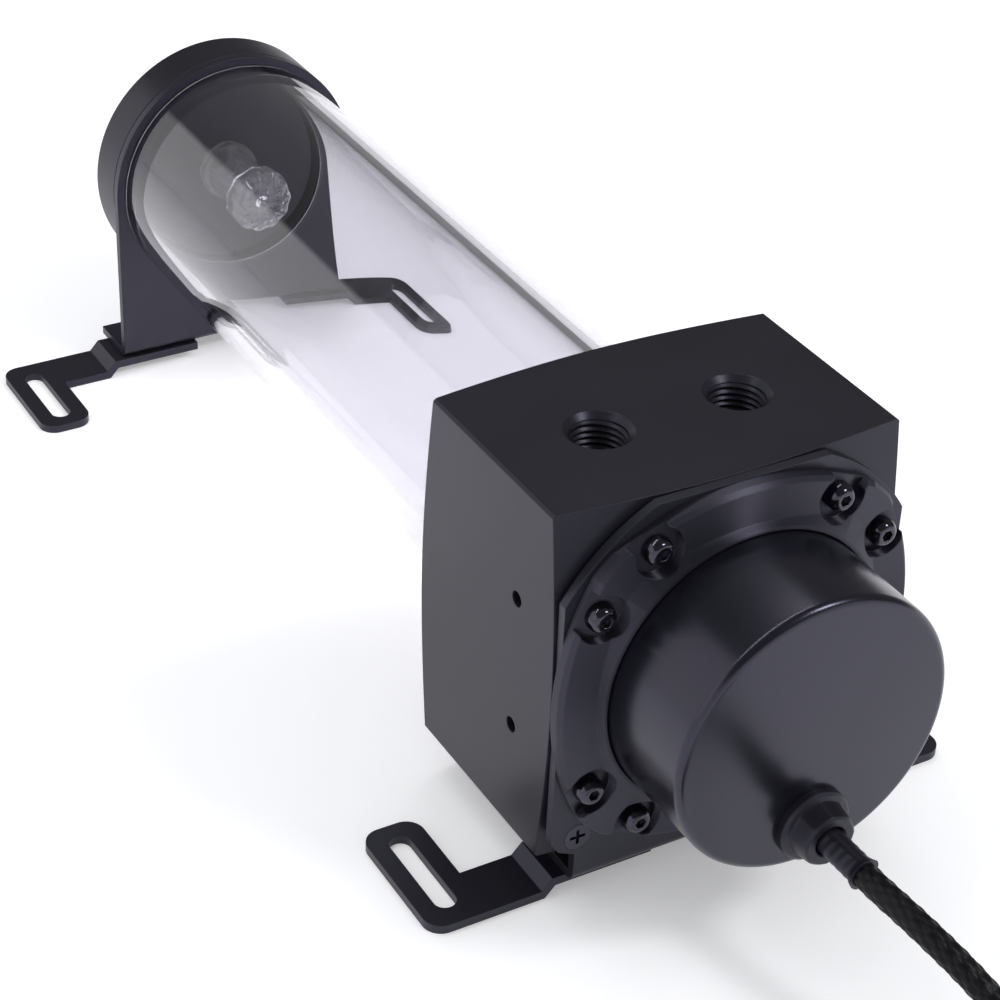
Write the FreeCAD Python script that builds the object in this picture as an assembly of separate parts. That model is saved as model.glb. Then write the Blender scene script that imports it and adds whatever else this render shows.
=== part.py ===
import FreeCAD, Part
import math
import os

# Coolant pump and tube reservoir. Millimetres.
# While a piece is drawn, Y runs along the tube from the pump block's front face, and X and Z are
# zero on the tube's axis. save() then moves it so that the feet stand at Z = 0 and the whole
# object, without its cable, is centred on X = 0, Y = 0.

# Driving dimensions
BLOCK_SIDE = 0.5
BLOCK_HEIGHT = 79.0
BLOCK_DEPTH = 50.7
FACE_FLAT_RADIUS = 37.6
FACE_FALL = 3.0
TUBE_RADIUS = 30.0
TUBE_WALL = 5.0
TUBE_SPAN = 171.0
NECK_STEP = 1.2
NECK_LENGTH = 12.0
CAP_NECK_LENGTH = 7.4
CAP_RADIUS = 32.0
CAP_LENGTH = 11.8
SHEET = 2.0
BEND_RADIUS = 2.5
FLANGE_GAP = 3.3
FOOT_DROP = 2.5
BRACKET_WIDTH = 64.0
BRACKET_DEPTH = 15.0
PLATE_MARGIN = 2.8
PLATE_CORNER_MARGIN = 9.0
PLATE_SIDE_STOP = 6.5
PLATE_STEP = 1.8
PLATE_STEP_STOP = 3.9
PLATE_NECK_STOP = 2.1
NOTCH_WIDTH = 3.4
CAN_RADIUS = 29.75
CAN_WALL = 2.0
CAN_RIM = 1.8
CAN_FLANGE = 4.95
RING_THICK = 3.1
RING_COLLAR = 1.8
RING_MARGIN = 4.6
RING_CORNER_MARGIN = 7.9
RING_CORNER_TURN = 3.84
RING_BEVEL = 0.9
COLLAR_LIP = 0.7
COLLAR_FOOT = 1.1
COLLAR_CORNER = 4.9
SCREW_INSET = 3.5
SCREW_SPREAD = 1.56
POCKET_RADIUS = 5.2
POCKET_DEPTH = 2.0
BUTTON_RADIUS = 2.9
BUTTON_HEIGHT = 3.2
BUTTON_ROUND = 1.4
BUTTON_HEX = 2.1
BUTTON_HEX_DEPTH = 1.1
RING_SCREW_END = 10.0
PORT_X = 15.5
PORT_Y = 24.4
PORT_RADIUS = 5.72
PORT_DEPTH = 13.0
PORT_MOUTH_RADIUS = 6.9
DRILLED_RADIUS = 4.5
PASSAGE_RADIUS = 4.0
PASSAGE_Z = 16.0
VOLUTE_DEPTH = 10.9
CHAMBER_DEPTH = 3.8
EYE_RADIUS = 7.0
SIDE_HOLE_Y = 13.9
SIDE_HOLE_Z = 14.7
SIDE_HOLE_RADIUS = 1.65
SIDE_HOLE_DEPTH = 8.0
BRACKET_SCREW_X = 31.5
BRACKET_SCREW_Z = 33.2
SUNK_RADIUS = 2.9
SUNK_DEPTH = 1.55
CROSS_LENGTH = 3.4
CROSS_WIDTH = 0.7
CROSS_DEPTH = 0.8
BRACKET_SCREW_END = 8.0
STRIP_WIDTH = 12.15
STRIP_INNER_X = 12.0
JOGGLE_X = 34.7
JOGGLE_RUN = 2.3
LEG_LENGTH = 31.0
LEG_WIDTH = 12.6
LEG_OUTER_X = 61.2
LEG_CORNER = 4.0
SLOT_WIDTH = 4.7
SLOT_LENGTH = 23.0
FRONT_STRIP_Y = 0.9
REAR_STRIP_SHIFT = 0.2
SLOT_INSET = 4.4
FOOT_SCREW_X = (17.0, 27.0)
FOOT_HEAD_RADIUS = 2.8
FOOT_HEAD_HEIGHT = 1.7
FOOT_RECESS_RADIUS = 1.1
FOOT_RECESS_DEPTH = 1.0
SHANK_RADIUS = 1.5
BOARD_STANDOFF = 4.4
BOARD_THICK = 1.6
CHIP_HEIGHT = 1.3
COIL_GAP = 1.1
COIL_OVERHANG = 3.2
STATOR_REAR = -3.2
CORE_GAP = 1.2
CUP_CLEARANCE = 2.5
CUP_WALL = 0.8
CUP_FLANGE = 1.6
ROTOR_BALL_RADIUS = 18.0
ROTOR_GAP = 0.6
IMPELLER_RADIUS = 20.0
DISC_BACK = 0.6
DISC_FRONT = 2.2
HUB_HEIGHT = 4.6
VANE_GAP = 2.4
VANE_THICK = 1.1
BALL_RADIUS = 2.0
POST_RADIUS = 1.2
BEARING_RADIUS = 4.4
BEARING_BACK = 6.0
BEARING_LIP = 1.0
GLAND_X = 1.2
GLAND_INSET = 9.45
GLAND_COLLAR_RADIUS = 7.7
GLAND_RADIUS = 5.8
GLAND_LENGTH = 6.5
GLAND_COLLAR = 1.9
GLAND_SHANK = 4.9
GLAND_MOUTH = 3.1
GLAND_MOUTH_DEPTH = 1.5
NUT_ACROSS = 11.8
NUT_HEIGHT = 2.8
PLUG_RADIUS = 8.6
PLUG_HEAD = 3.0
PLUG_HEX = 6.0
PLUG_HEX_DEPTH = 5.5
PLUG_SHANK = 6.0
PLUG_SEAL = 1.2
STUB_RADIUS = 6.3
STUB_BORE = 3.6
STUB_LENGTH = 17.0
STUB_SPIGOT = 4.2
ROSE_RADIUS = 8.2
ROSE_TIP = 6.4
ROSE_TAPER = 2.6
ROSE_LENGTH = 5.6
ROSE_BACK = 1.2
ROSE_HOLE = 0.8
ROSE_HOLE_PLACE = 4.0
ROSE_EYE = 1.4
FLUTE_RADIUS = 1.3
FLUTE_PLACE = 8.6
CABLE_RADIUS = 2.65

# The cable's free stretch, in the finished frame: from the shrink sleeve, forward and down to
# the floor, to where it joins the coil of put-away length.
CABLE_ROUTE = [
    (2.0, -148.7, 28.0),
    (4.2, -160.9, 26.4),
    (8.8, -174.9, 20.8),
    (14.4, -189.4, 10.6),
    (19.4, -207.0, 2.7),
    (23.0, -226.0, 2.7),
]
COIL_CENTRE = (-8.4, -231.9)
COIL_RADIUS = 32.0
# From the top of the coil to the connector.
TAIL_ROUTE = [
    (-39.8, -237.8, 8.1),
    (-41.9, -224.5, 7.9),
    (-44.6, -211.0, 6.3),
    (-46.0, -197.5, 5.6),
]
CONNECTOR = (21.0, 24.0, 11.0)
CONTACT_PITCH = 5.08
CONTACT_HOLE = 1.6
CONTACT_DEPTH = 8.0
CONNECTOR_BEVEL = 1.6

# Clearances
FIT = 0.05
LOOSE = 0.2

# Worked out from the driving dimensions
BORE_RADIUS = TUBE_RADIUS - TUBE_WALL
NECK_RADIUS = TUBE_RADIUS - NECK_STEP
SOCKET_DEPTH = NECK_LENGTH + 2.0
SEAL_THICK = SOCKET_DEPTH - NECK_LENGTH
SOCKET_Y = BLOCK_DEPTH - SOCKET_DEPTH
CHAMBER_Y = SOCKET_Y - CHAMBER_DEPTH
PLATE_Y = BLOCK_DEPTH + TUBE_SPAN
CAP_Y = PLATE_Y + SHEET
CAP_END_Y = CAP_Y + CAP_LENGTH
CAP_FACE_Y = CAP_Y + 0.3
CHIPS_Y = -ROTOR_BALL_RADIUS - CUP_WALL - CUP_CLEARANCE
BOARD_Y = CHIPS_Y - CHIP_HEIGHT - BOARD_THICK
CAN_LENGTH = CAN_WALL + BOARD_STANDOFF - BOARD_Y
FRONT_Y = -CAN_LENGTH - GLAND_LENGTH
REAR_Y = CAP_END_Y + PLUG_HEAD
CENTRE_Y = (FRONT_Y + REAR_Y) / 2
FLANGE_TOP = -BLOCK_HEIGHT / 2 - FLANGE_GAP
FLANGE_BOTTOM = FLANGE_TOP - SHEET
STRIP_BOTTOM = FLANGE_BOTTOM - SHEET
FLOOR = STRIP_BOTTOM - FOOT_DROP
FLANGE_RADIUS = CAN_RADIUS + CAN_FLANGE
PLATE_WIDTH = 2 * (FLANGE_RADIUS + PLATE_MARGIN)
BLOCK_WIDTH = PLATE_WIDTH + 2 * BLOCK_SIDE
PLATE_CORNER_RADIUS = FLANGE_RADIUS + PLATE_CORNER_MARGIN
RING_HALF = FLANGE_RADIUS + RING_MARGIN
RING_CORNER = FLANGE_RADIUS + RING_CORNER_MARGIN
SCREW_FAR = FLANGE_RADIUS - SCREW_INSET
SCREW_NEAR = SCREW_FAR / SCREW_SPREAD
GLAND_Z = GLAND_INSET - CAN_RADIUS
RING_BORE = CAN_RADIUS + 0.35
RING_FRONT = -SHEET - RING_THICK
VOLUTE_RADIUS = CAN_RADIUS - 2.75
GROOVE_OUTER = FLANGE_RADIUS - 1.3
GROOVE_INNER = GROOVE_OUTER - 2.4
GROOVE_DEPTH = 1.6
REAR_STRIP_Y = PLATE_Y - REAR_STRIP_SHIFT
CAP_SOCKET_END = CAP_Y + CAP_NECK_LENGTH
STATOR_FRONT = CHIPS_Y + COIL_GAP + COIL_OVERHANG
CORE_OUTER = CAN_RADIUS - CAN_WALL - 0.15
CORE_BORE = ROTOR_BALL_RADIUS + CUP_WALL + CORE_GAP
ROSE_Y = CAP_FACE_Y - STUB_LENGTH


def vec(x, y, z):
    return FreeCAD.Vector(x, y, z)


def rod(radius, y0, y1, x=0.0, z=0.0):
    """A cylinder along Y, from y0 to y1."""
    return Part.makeCylinder(radius, y1 - y0, vec(x, y0, z), vec(0, 1, 0))


def upright(radius, x, y, z0, z1):
    """A cylinder along Z, from z0 to z1."""
    return Part.makeCylinder(radius, z1 - z0, vec(x, y, z0), vec(0, 0, 1))


def box(x0, x1, y0, y1, z0, z1):
    return Part.makeBox(x1 - x0, y1 - y0, z1 - z0, vec(x0, y0, z0))


def collar(outer, inner, y0, y1, x=0.0, z=0.0):
    return rod(outer, y0, y1, x, z).cut(rod(inner, y0 - 1, y1 + 1, x, z))


def turned(points):
    """A solid turned about the tube's axis from (radius, y) points."""
    wire = Part.makePolygon([vec(r, y, 0) for r, y in points + points[:1]])
    return Part.Face(wire).revolve(vec(0, 0, 0), vec(0, 1, 0), 360)


def circles_at(shape, y, radius):
    """The round edges about the Y direction at one place and of one radius."""
    found = []
    for edge in shape.Edges:
        curve = edge.Curve
        if isinstance(curve, Part.Circle) and abs(curve.Radius - radius) < 0.01:
            if abs(curve.Center.y - y) < 0.01:
                found.append(edge)
    return found


def round_rim(shape, y, radius, size):
    return shape.makeFillet(size, circles_at(shape, y, radius))


def bevel_rim(shape, y, radius, size):
    return shape.makeChamfer(size, circles_at(shape, y, radius))


def mirrored(shape):
    return shape.mirror(vec(0, 0, 0), vec(1, 0, 0))


def on_four_corners(x, z):
    return [(sx * x, sz * z) for sx in (-1, 1) for sz in (-1, 1)]


def ring_screw_places():
    return on_four_corners(SCREW_NEAR, SCREW_FAR) + on_four_corners(SCREW_FAR, SCREW_NEAR)


def bracket_screw_places():
    return [(-BRACKET_SCREW_X, -BRACKET_SCREW_Z), (BRACKET_SCREW_X, -BRACKET_SCREW_Z)]


def hex_prism(across_flats, y0, y1, x, z):
    radius = across_flats / math.sqrt(3)
    points = []
    for k in range(7):
        a = math.radians(60 * k)
        points.append(vec(x + radius * math.cos(a), y0, z + radius * math.sin(a)))
    return Part.Face(Part.makePolygon(points)).extrude(vec(0, y1 - y0, 0))


def block_blank():
    """The block with its flat round faces, which fall away to the corners as a turned cone."""
    w = BLOCK_WIDTH / 2
    h = BLOCK_HEIGHT / 2
    blank = box(-w, w, 0, BLOCK_DEPTH, -h, h)
    long_edges = [e for e in blank.Edges if abs(e.Length - BLOCK_DEPTH) < 0.01
                  and abs(e.Vertexes[0].X - e.Vertexes[1].X) < 0.01
                  and abs(e.Vertexes[0].Z - e.Vertexes[1].Z) < 0.01]
    blank = blank.makeChamfer(0.6, long_edges)
    corner = math.hypot(w, h)
    reach = corner + 2
    fall = FACE_FALL * (reach - FACE_FLAT_RADIUS) / (corner - FACE_FLAT_RADIUS)
    lens = turned([(0, 0), (FACE_FLAT_RADIUS, 0), (reach, fall), (reach, BLOCK_DEPTH - fall),
                   (FACE_FLAT_RADIUS, BLOCK_DEPTH), (0, BLOCK_DEPTH)])
    return blank.common(lens)


def port_cut(x):
    """A threaded port's bore with its bevelled mouth, and the drilled way below it."""
    top = BLOCK_HEIGHT / 2
    mouth = PORT_MOUTH_RADIUS - PORT_RADIUS
    bore = upright(PORT_RADIUS, x, PORT_Y, top - PORT_DEPTH, top + 1)
    cone = Part.makeCone(PORT_RADIUS, PORT_MOUTH_RADIUS, mouth, vec(x, PORT_Y, top - mouth),
                         vec(0, 0, 1))
    low = PASSAGE_Z - PASSAGE_RADIUS - 1
    drilled = upright(DRILLED_RADIUS, x, PORT_Y, low, top - PORT_DEPTH + 1)
    return bore.fuse([cone, drilled])


def pump_block():
    cuts = [rod(VOLUTE_RADIUS, -1, VOLUTE_DEPTH),
            rod(EYE_RADIUS, 0, CHAMBER_Y + 1),
            rod(BORE_RADIUS, CHAMBER_Y, SOCKET_Y + 1),
            rod(NECK_RADIUS + LOOSE / 2, SOCKET_Y, BLOCK_DEPTH + 1),
            collar(GROOVE_OUTER, GROOVE_INNER, -1, GROOVE_DEPTH),
            port_cut(-PORT_X),
            port_cut(PORT_X),
            rod(PASSAGE_RADIUS, VOLUTE_DEPTH - 1, PORT_Y, -PORT_X, PASSAGE_Z),
            rod(PASSAGE_RADIUS, PORT_Y, CHAMBER_Y + 1, PORT_X, PASSAGE_Z)]
    for x, z in ring_screw_places():
        cuts.append(rod(SHANK_RADIUS, -1, RING_SCREW_END + 1, x, z))
    for x, z in bracket_screw_places():
        cuts.append(rod(SHANK_RADIUS, -1, BRACKET_SCREW_END + 1, x, z))
    for z in (-SIDE_HOLE_Z, SIDE_HOLE_Z):
        start = vec(-BLOCK_WIDTH / 2 - 1, SIDE_HOLE_Y, z)
        cuts.append(Part.makeCylinder(SIDE_HOLE_RADIUS, SIDE_HOLE_DEPTH + 1, start,
                                      vec(1, 0, 0)))
    block = block_blank()
    for cut in cuts:
        block = block.cut(cut)
    return block


def folded(plate, y0, width, depth):
    """Adds a flange under a plate of sheet at y0, folded back along Y."""
    flange = box(-width / 2, width / 2, y0, y0 + depth, FLANGE_BOTTOM, FLANGE_TOP)
    joined = plate.fuse(flange)
    inner = BEND_RADIUS - SHEET
    fillet = box(-width / 2, width / 2, y0 + SHEET, y0 + SHEET + inner, FLANGE_TOP,
                 FLANGE_TOP + inner)
    fillet = fillet.cut(Part.makeCylinder(inner, width + 2,
                                          vec(-width / 2 - 1, y0 + BEND_RADIUS, FLANGE_TOP + inner),
                                          vec(1, 0, 0)))
    joined = joined.fuse(fillet).removeSplitter()
    outer = [e for e in joined.Edges
             if all(abs(v.Y - y0) < 0.01 and abs(v.Z - FLANGE_BOTTOM) < 0.01 for v in e.Vertexes)]
    return joined.makeFillet(BEND_RADIUS, outer)


def flange_holes(y):
    return [upright(SHANK_RADIUS + FIT, sx * x, y, FLANGE_BOTTOM - 1, FLANGE_TOP + 1)
            for sx in (-1, 1) for x in FOOT_SCREW_X]


def front_bracket():
    half = PLATE_WIDTH / 2
    low = BRACKET_WIDTH / 2
    top = BLOCK_HEIGHT / 2
    upper = box(-half, half, -SHEET, 0, 0, top).common(rod(PLATE_CORNER_RADIUS, -SHEET, 0))
    neck = [(half, PLATE_SIDE_STOP - top), (half - PLATE_STEP, PLATE_STEP_STOP - top),
            (low, PLATE_NECK_STOP - top), (low, FLANGE_BOTTOM)]
    outline = [(half, 0)] + neck + [(-x, z) for x, z in reversed(neck)] + [(-half, 0), (half, 0)]
    lower = Part.Face(Part.makePolygon([vec(x, -SHEET, z) for x, z in outline]))
    lower = lower.extrude(vec(0, SHEET, 0))
    plate = folded(upper.fuse(lower), -SHEET, BRACKET_WIDTH, BRACKET_DEPTH)
    plate = plate.cut(rod(FLANGE_RADIUS + 0.3, -SHEET - 1, 1))
    for x, z in ring_screw_places():
        way = math.hypot(x, z)
        notch = box(FLANGE_RADIUS - 2, way, -SHEET - 1, 1, -NOTCH_WIDTH / 2, NOTCH_WIDTH / 2)
        notch.rotate(vec(0, 0, 0), vec(0, 1, 0), -math.degrees(math.atan2(z, x)))
        plate = plate.cut(notch).cut(rod(NOTCH_WIDTH / 2, -SHEET - 1, 1, x, z))
    for x, z in bracket_screw_places():
        sink = Part.makeCone(SUNK_RADIUS + 2 * FIT, SHANK_RADIUS + FIT, SUNK_DEPTH + FIT,
                             vec(x, -SHEET, z), vec(0, 1, 0))
        plate = plate.cut(sink).cut(rod(SHANK_RADIUS + FIT, -SHEET - 1, 1, x, z))
    for hole in flange_holes(FRONT_STRIP_Y + STRIP_WIDTH / 2):
        plate = plate.cut(hole)
    return plate


def rear_bracket():
    half = CAP_RADIUS
    plate = rod(half, PLATE_Y, PLATE_Y + SHEET)
    plate = plate.fuse(box(-half, half, PLATE_Y, PLATE_Y + SHEET, FLANGE_BOTTOM, 0))
    plate = folded(plate.removeSplitter(), PLATE_Y, 2 * half, BRACKET_DEPTH)
    plate = plate.cut(rod(NECK_RADIUS + LOOSE, PLATE_Y - 1, PLATE_Y + SHEET + 1))
    for hole in flange_holes(REAR_STRIP_Y + STRIP_WIDTH / 2):
        plate = plate.cut(hole)
    return plate


def foot(strip_y, leg_y, slot_y):
    """One foot of sheet on the right: a strip under the flange, stepped down to a slotted leg."""
    step = JOGGLE_X + JOGGLE_RUN
    side = [(STRIP_INNER_X, FLANGE_BOTTOM), (JOGGLE_X, FLANGE_BOTTOM), (step, FLOOR + SHEET),
            (step + 6, FLOOR + SHEET), (step + 6, FLOOR), (step - 0.7, FLOOR),
            (JOGGLE_X - 0.7, STRIP_BOTTOM), (STRIP_INNER_X, STRIP_BOTTOM),
            (STRIP_INNER_X, FLANGE_BOTTOM)]
    strip = Part.Face(Part.makePolygon([vec(x, strip_y, z) for x, z in side]))
    strip = strip.extrude(vec(0, STRIP_WIDTH, 0))
    pad = box(step, LEG_OUTER_X, strip_y, strip_y + STRIP_WIDTH, FLOOR, FLOOR + SHEET)
    inner_x = LEG_OUTER_X - LEG_WIDTH
    leg = box(inner_x, LEG_OUTER_X, leg_y, leg_y + LEG_LENGTH, FLOOR, FLOOR + SHEET)
    flat = pad.fuse(leg).removeSplitter()
    free_y = leg_y + LEG_LENGTH if leg_y >= strip_y else leg_y
    near_y = leg_y if leg_y >= strip_y else leg_y + LEG_LENGTH
    rounded = [e for e in flat.Edges if abs(e.Length - SHEET) < 0.01 and is_leg_corner(
        e.Vertexes[0], free_y, near_y, inner_x)]
    flat = flat.makeFillet(LEG_CORNER, rounded)
    whole = strip.fuse(flat).removeSplitter()
    x = LEG_OUTER_X - LEG_WIDTH / 2
    whole = whole.cut(box(x - SLOT_WIDTH / 2, x + SLOT_WIDTH / 2, slot_y + SLOT_WIDTH / 2,
                          slot_y + SLOT_LENGTH - SLOT_WIDTH / 2, FLOOR - 1, FLOOR + SHEET + 1))
    for y in (slot_y + SLOT_WIDTH / 2, slot_y + SLOT_LENGTH - SLOT_WIDTH / 2):
        whole = whole.cut(upright(SLOT_WIDTH / 2, x, y, FLOOR - 1, FLOOR + SHEET + 1))
    for hole_x in FOOT_SCREW_X:
        whole = whole.cut(upright(SHANK_RADIUS + LOOSE, hole_x, strip_y + STRIP_WIDTH / 2,
                                  STRIP_BOTTOM - 1, FLANGE_BOTTOM + 1))
    return whole


def is_leg_corner(vertex, free_y, near_y, inner_x):
    """The leg's two free corners and its outer corner beside the strip."""
    at_free_end = abs(vertex.Y - free_y) < 0.01 and vertex.X > inner_x - 0.01
    at_outer = abs(vertex.Y - near_y) < 0.01 and abs(vertex.X - LEG_OUTER_X) < 0.01
    return at_free_end or at_outer


def front_foot():
    return foot(FRONT_STRIP_Y, FRONT_STRIP_Y, FRONT_STRIP_Y + SLOT_INSET)


def rear_foot():
    leg_y = REAR_STRIP_Y + STRIP_WIDTH - LEG_LENGTH
    return foot(REAR_STRIP_Y, leg_y, leg_y + LEG_LENGTH - SLOT_INSET - SLOT_LENGTH)


def foot_screws():
    screws = []
    for y in (FRONT_STRIP_Y + STRIP_WIDTH / 2, REAR_STRIP_Y + STRIP_WIDTH / 2):
        for sx in (-1, 1):
            for x in FOOT_SCREW_X:
                under = STRIP_BOTTOM - FOOT_HEAD_HEIGHT
                head = upright(FOOT_HEAD_RADIUS, sx * x, y, under, STRIP_BOTTOM)
                recess = upright(FOOT_RECESS_RADIUS, sx * x, y, under - 1,
                                 under + FOOT_RECESS_DEPTH)
                shank = upright(SHANK_RADIUS, sx * x, y, under + 1.2, FLANGE_TOP + 0.5)
                screws.append(head.fuse(shank).cut(recess))
    return Part.makeCompound(screws)


def bracket_screws():
    screws = []
    for x, z in bracket_screw_places():
        head = Part.makeCone(SUNK_RADIUS, SHANK_RADIUS, SUNK_DEPTH, vec(x, -SHEET, z),
                             vec(0, 1, 0))
        screw = head.fuse(rod(SHANK_RADIUS - FIT, -SHEET + 1, BRACKET_SCREW_END, x, z))
        for wide, tall in ((CROSS_LENGTH / 2, CROSS_WIDTH / 2), (CROSS_WIDTH / 2, CROSS_LENGTH / 2)):
            cross = box(x - wide, x + wide, -SHEET - 1, -SHEET + CROSS_DEPTH, z - tall, z + tall)
            screw = screw.cut(cross)
        screws.append(screw)
    return Part.makeCompound(screws)


def eight_arcs(half, corner, y):
    """A rounded square of four long arcs and four short corner arcs, at one place along Y."""
    edges = []
    turn = RING_CORNER_TURN
    for k in range(4):
        middle = math.radians(90 * k)
        before = math.radians(90 * k - 45 + turn)
        after = math.radians(90 * k + 45 - turn)
        diagonal = math.radians(90 * k + 45)
        following = math.radians(90 * k + 45 + turn)
        points = [(corner, before), (half, middle), (corner, after), (corner, diagonal),
                  (corner, following)]
        p = [vec(r * math.cos(a), y, r * math.sin(a)) for r, a in points]
        edges.append(Part.Arc(p[0], p[1], p[2]).toShape())
        edges.append(Part.Arc(p[2], p[3], p[4]).toShape())
    return Part.Wire(edges)


def slab(half, corner, y0, y1):
    return Part.Face(eight_arcs(half, corner, y0)).extrude(vec(0, y1 - y0, 0))


def clamp_ring():
    bevelled = RING_FRONT + RING_BEVEL
    body = slab(RING_HALF, RING_CORNER, bevelled, -SHEET)
    front = Part.makeLoft([eight_arcs(RING_HALF - RING_BEVEL, RING_CORNER - RING_BEVEL * 0.8,
                                      RING_FRONT),
                           eight_arcs(RING_HALF, RING_CORNER, bevelled)], True, True)
    lip = RING_BORE + COLLAR_LIP
    collar_front = RING_FRONT - RING_COLLAR
    nose = Part.makeLoft([eight_arcs(lip, lip, collar_front),
                          eight_arcs(RING_BORE + COLLAR_FOOT, RING_BORE + COLLAR_CORNER,
                                     RING_FRONT)], True, True)
    ring = body.fuse([front, nose])
    ring = ring.cut(rod(RING_BORE, collar_front - 1, 0))
    for x, z in ring_screw_places():
        way = math.hypot(x, z)
        floor_y = RING_FRONT + POCKET_DEPTH
        mouth = box(way, way + 2 * POCKET_RADIUS, RING_FRONT - 3, floor_y,
                    -POCKET_RADIUS * 0.8, POCKET_RADIUS * 0.8)
        mouth.rotate(vec(0, 0, 0), vec(0, 1, 0), -math.degrees(math.atan2(z, x)))
        ring = ring.cut(rod(POCKET_RADIUS, RING_FRONT - 3, floor_y, x, z)).cut(mouth)
        ring = ring.cut(rod(SHANK_RADIUS + LOOSE, RING_FRONT - 1, 1, x, z))
    return ring


def clamp_ring_screws():
    screws = []
    floor_y = RING_FRONT + POCKET_DEPTH
    top_y = floor_y - BUTTON_HEIGHT
    for x, z in ring_screw_places():
        head = rod(BUTTON_RADIUS, top_y, floor_y, x, z)
        head = round_rim(head, top_y, BUTTON_RADIUS, BUTTON_ROUND)
        head = head.cut(hex_prism(BUTTON_HEX, top_y - 1, top_y + BUTTON_HEX_DEPTH, x, z))
        screws.append(head.fuse(rod(SHANK_RADIUS - FIT, floor_y - 0.3, RING_SCREW_END, x, z)))
    return Part.makeCompound(screws)


def pump_housing():
    inner = CAN_RADIUS - CAN_WALL
    can = turned([(0, -CAN_LENGTH), (CAN_RADIUS, -CAN_LENGTH), (CAN_RADIUS, -SHEET),
                  (FLANGE_RADIUS, -SHEET), (FLANGE_RADIUS, 0), (inner, 0),
                  (inner, -CAN_LENGTH + CAN_WALL), (0, -CAN_LENGTH + CAN_WALL)])
    can = round_rim(can, -CAN_LENGTH, CAN_RADIUS, CAN_RIM)
    can = round_rim(can, -CAN_LENGTH + CAN_WALL, inner, CAN_RIM / 3)
    return can.cut(rod(GLAND_SHANK + 2 * FIT, -CAN_LENGTH - 1, -CAN_LENGTH + CAN_WALL + 1,
                       GLAND_X, GLAND_Z))


def cable_gland():
    y = -CAN_LENGTH
    front = y - GLAND_LENGTH
    flange = rod(GLAND_COLLAR_RADIUS, y - GLAND_COLLAR, y, GLAND_X, GLAND_Z)
    flange = bevel_rim(flange, y - GLAND_COLLAR, GLAND_COLLAR_RADIUS, 0.6)
    barrel = Part.makeCone(GLAND_RADIUS + 0.3, GLAND_RADIUS, GLAND_LENGTH - GLAND_COLLAR,
                           vec(GLAND_X, y - GLAND_COLLAR, GLAND_Z), vec(0, -1, 0))
    barrel = round_rim(barrel, front, GLAND_RADIUS, 0.8)
    shank = rod(GLAND_SHANK, y - 0.5, y + CAN_WALL + NUT_HEIGHT + LOOSE, GLAND_X, GLAND_Z)
    gland = barrel.fuse([flange, shank])
    return gland.cut(rod(GLAND_MOUTH, front - 1, front + GLAND_MOUTH_DEPTH, GLAND_X, GLAND_Z))


def cable_clamp():
    """The nut that holds the gland from inside the can."""
    y = -CAN_LENGTH + CAN_WALL
    nut = hex_prism(NUT_ACROSS, y, y + NUT_HEIGHT, GLAND_X, GLAND_Z)
    return nut.cut(rod(GLAND_SHANK + FIT, y - 1, y + NUT_HEIGHT + 1, GLAND_X, GLAND_Z))


def control_board():
    face = BOARD_Y + BOARD_THICK
    board = rod(CORE_OUTER, BOARD_Y, face)
    chip = CORE_OUTER / 4
    chips = [box(-chip, 0, face, CHIPS_Y, -chip, 0),
             box(chip, 1.8 * chip, face, CHIPS_Y - LOOSE, 0, chip)]
    return board.fuse(chips)


def half_ball(radius, y):
    """The part of a ball about the rotor's centre that lies before one place along Y."""
    return Part.makeSphere(radius).common(box(-radius, radius, -radius, y, -radius, radius))


def rotor_cup():
    """The thin shell that parts the wet rotor from the dry coils, with its flange."""
    outer = ROTOR_BALL_RADIUS + CUP_WALL
    hollow = Part.makeSphere(ROTOR_BALL_RADIUS)
    flange = collar(CAN_RADIUS - CAN_WALL - FIT, outer - CUP_WALL / 2, -CUP_FLANGE, 0)
    return half_ball(outer, 0).cut(hollow).fuse(flange).cut(hollow)


def across_core(share):
    """A radius in the stator's core, from 0 at its bore to 1 at its outside."""
    return CORE_BORE + share * (CORE_OUTER - CORE_BORE)


def stator_core():
    core = collar(CORE_OUTER, CORE_BORE, STATOR_FRONT, STATOR_REAR)
    half_slot = 0.11 * CORE_BORE
    for k in range(6):
        slot = box(across_core(0.26), across_core(0.59), STATOR_FRONT - 1, STATOR_REAR + 1,
                   -half_slot, half_slot)
        slot.rotate(vec(0, 0, 0), vec(0, 1, 0), 60 * k + 30)
        core = core.cut(slot)
    return core


def stator_coils():
    """Six windings' ends on the front of the core."""
    coils = []
    half = 0.375 * CORE_BORE
    eye = 0.225 * CORE_BORE
    low = across_core(0.08)
    high = math.sqrt((CORE_OUTER - LOOSE) ** 2 - half ** 2)
    band = 0.32 * (high - low)
    for k in range(6):
        coil = box(low, high, STATOR_FRONT - COIL_OVERHANG, STATOR_FRONT, -half, half)
        coil = coil.cut(box(low + band, high - band, STATOR_FRONT - COIL_OVERHANG - 1,
                            STATOR_FRONT + 1, -eye, eye))
        coil.rotate(vec(0, 0, 0), vec(0, 1, 0), 60 * k)
        coils.append(coil)
    return Part.makeCompound(coils)


def bearing_ball():
    return Part.makeSphere(BALL_RADIUS)


def bearing_post():
    post = rod(POST_RADIUS, -ROTOR_BALL_RADIUS - 0.4, -BALL_RADIUS + 0.6)
    return post.common(Part.makeSphere(ROTOR_BALL_RADIUS)).cut(bearing_ball())


def rotor_bearing():
    """A ceramic cup that rides on the ball."""
    shell = rod(BEARING_RADIUS, -BEARING_BACK, BALL_RADIUS + BEARING_LIP)
    mouth = rod(BALL_RADIUS + 0.4, -BEARING_BACK - 1, -0.2)
    return shell.cut(Part.makeSphere(BALL_RADIUS + FIT)).cut(mouth)


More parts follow.
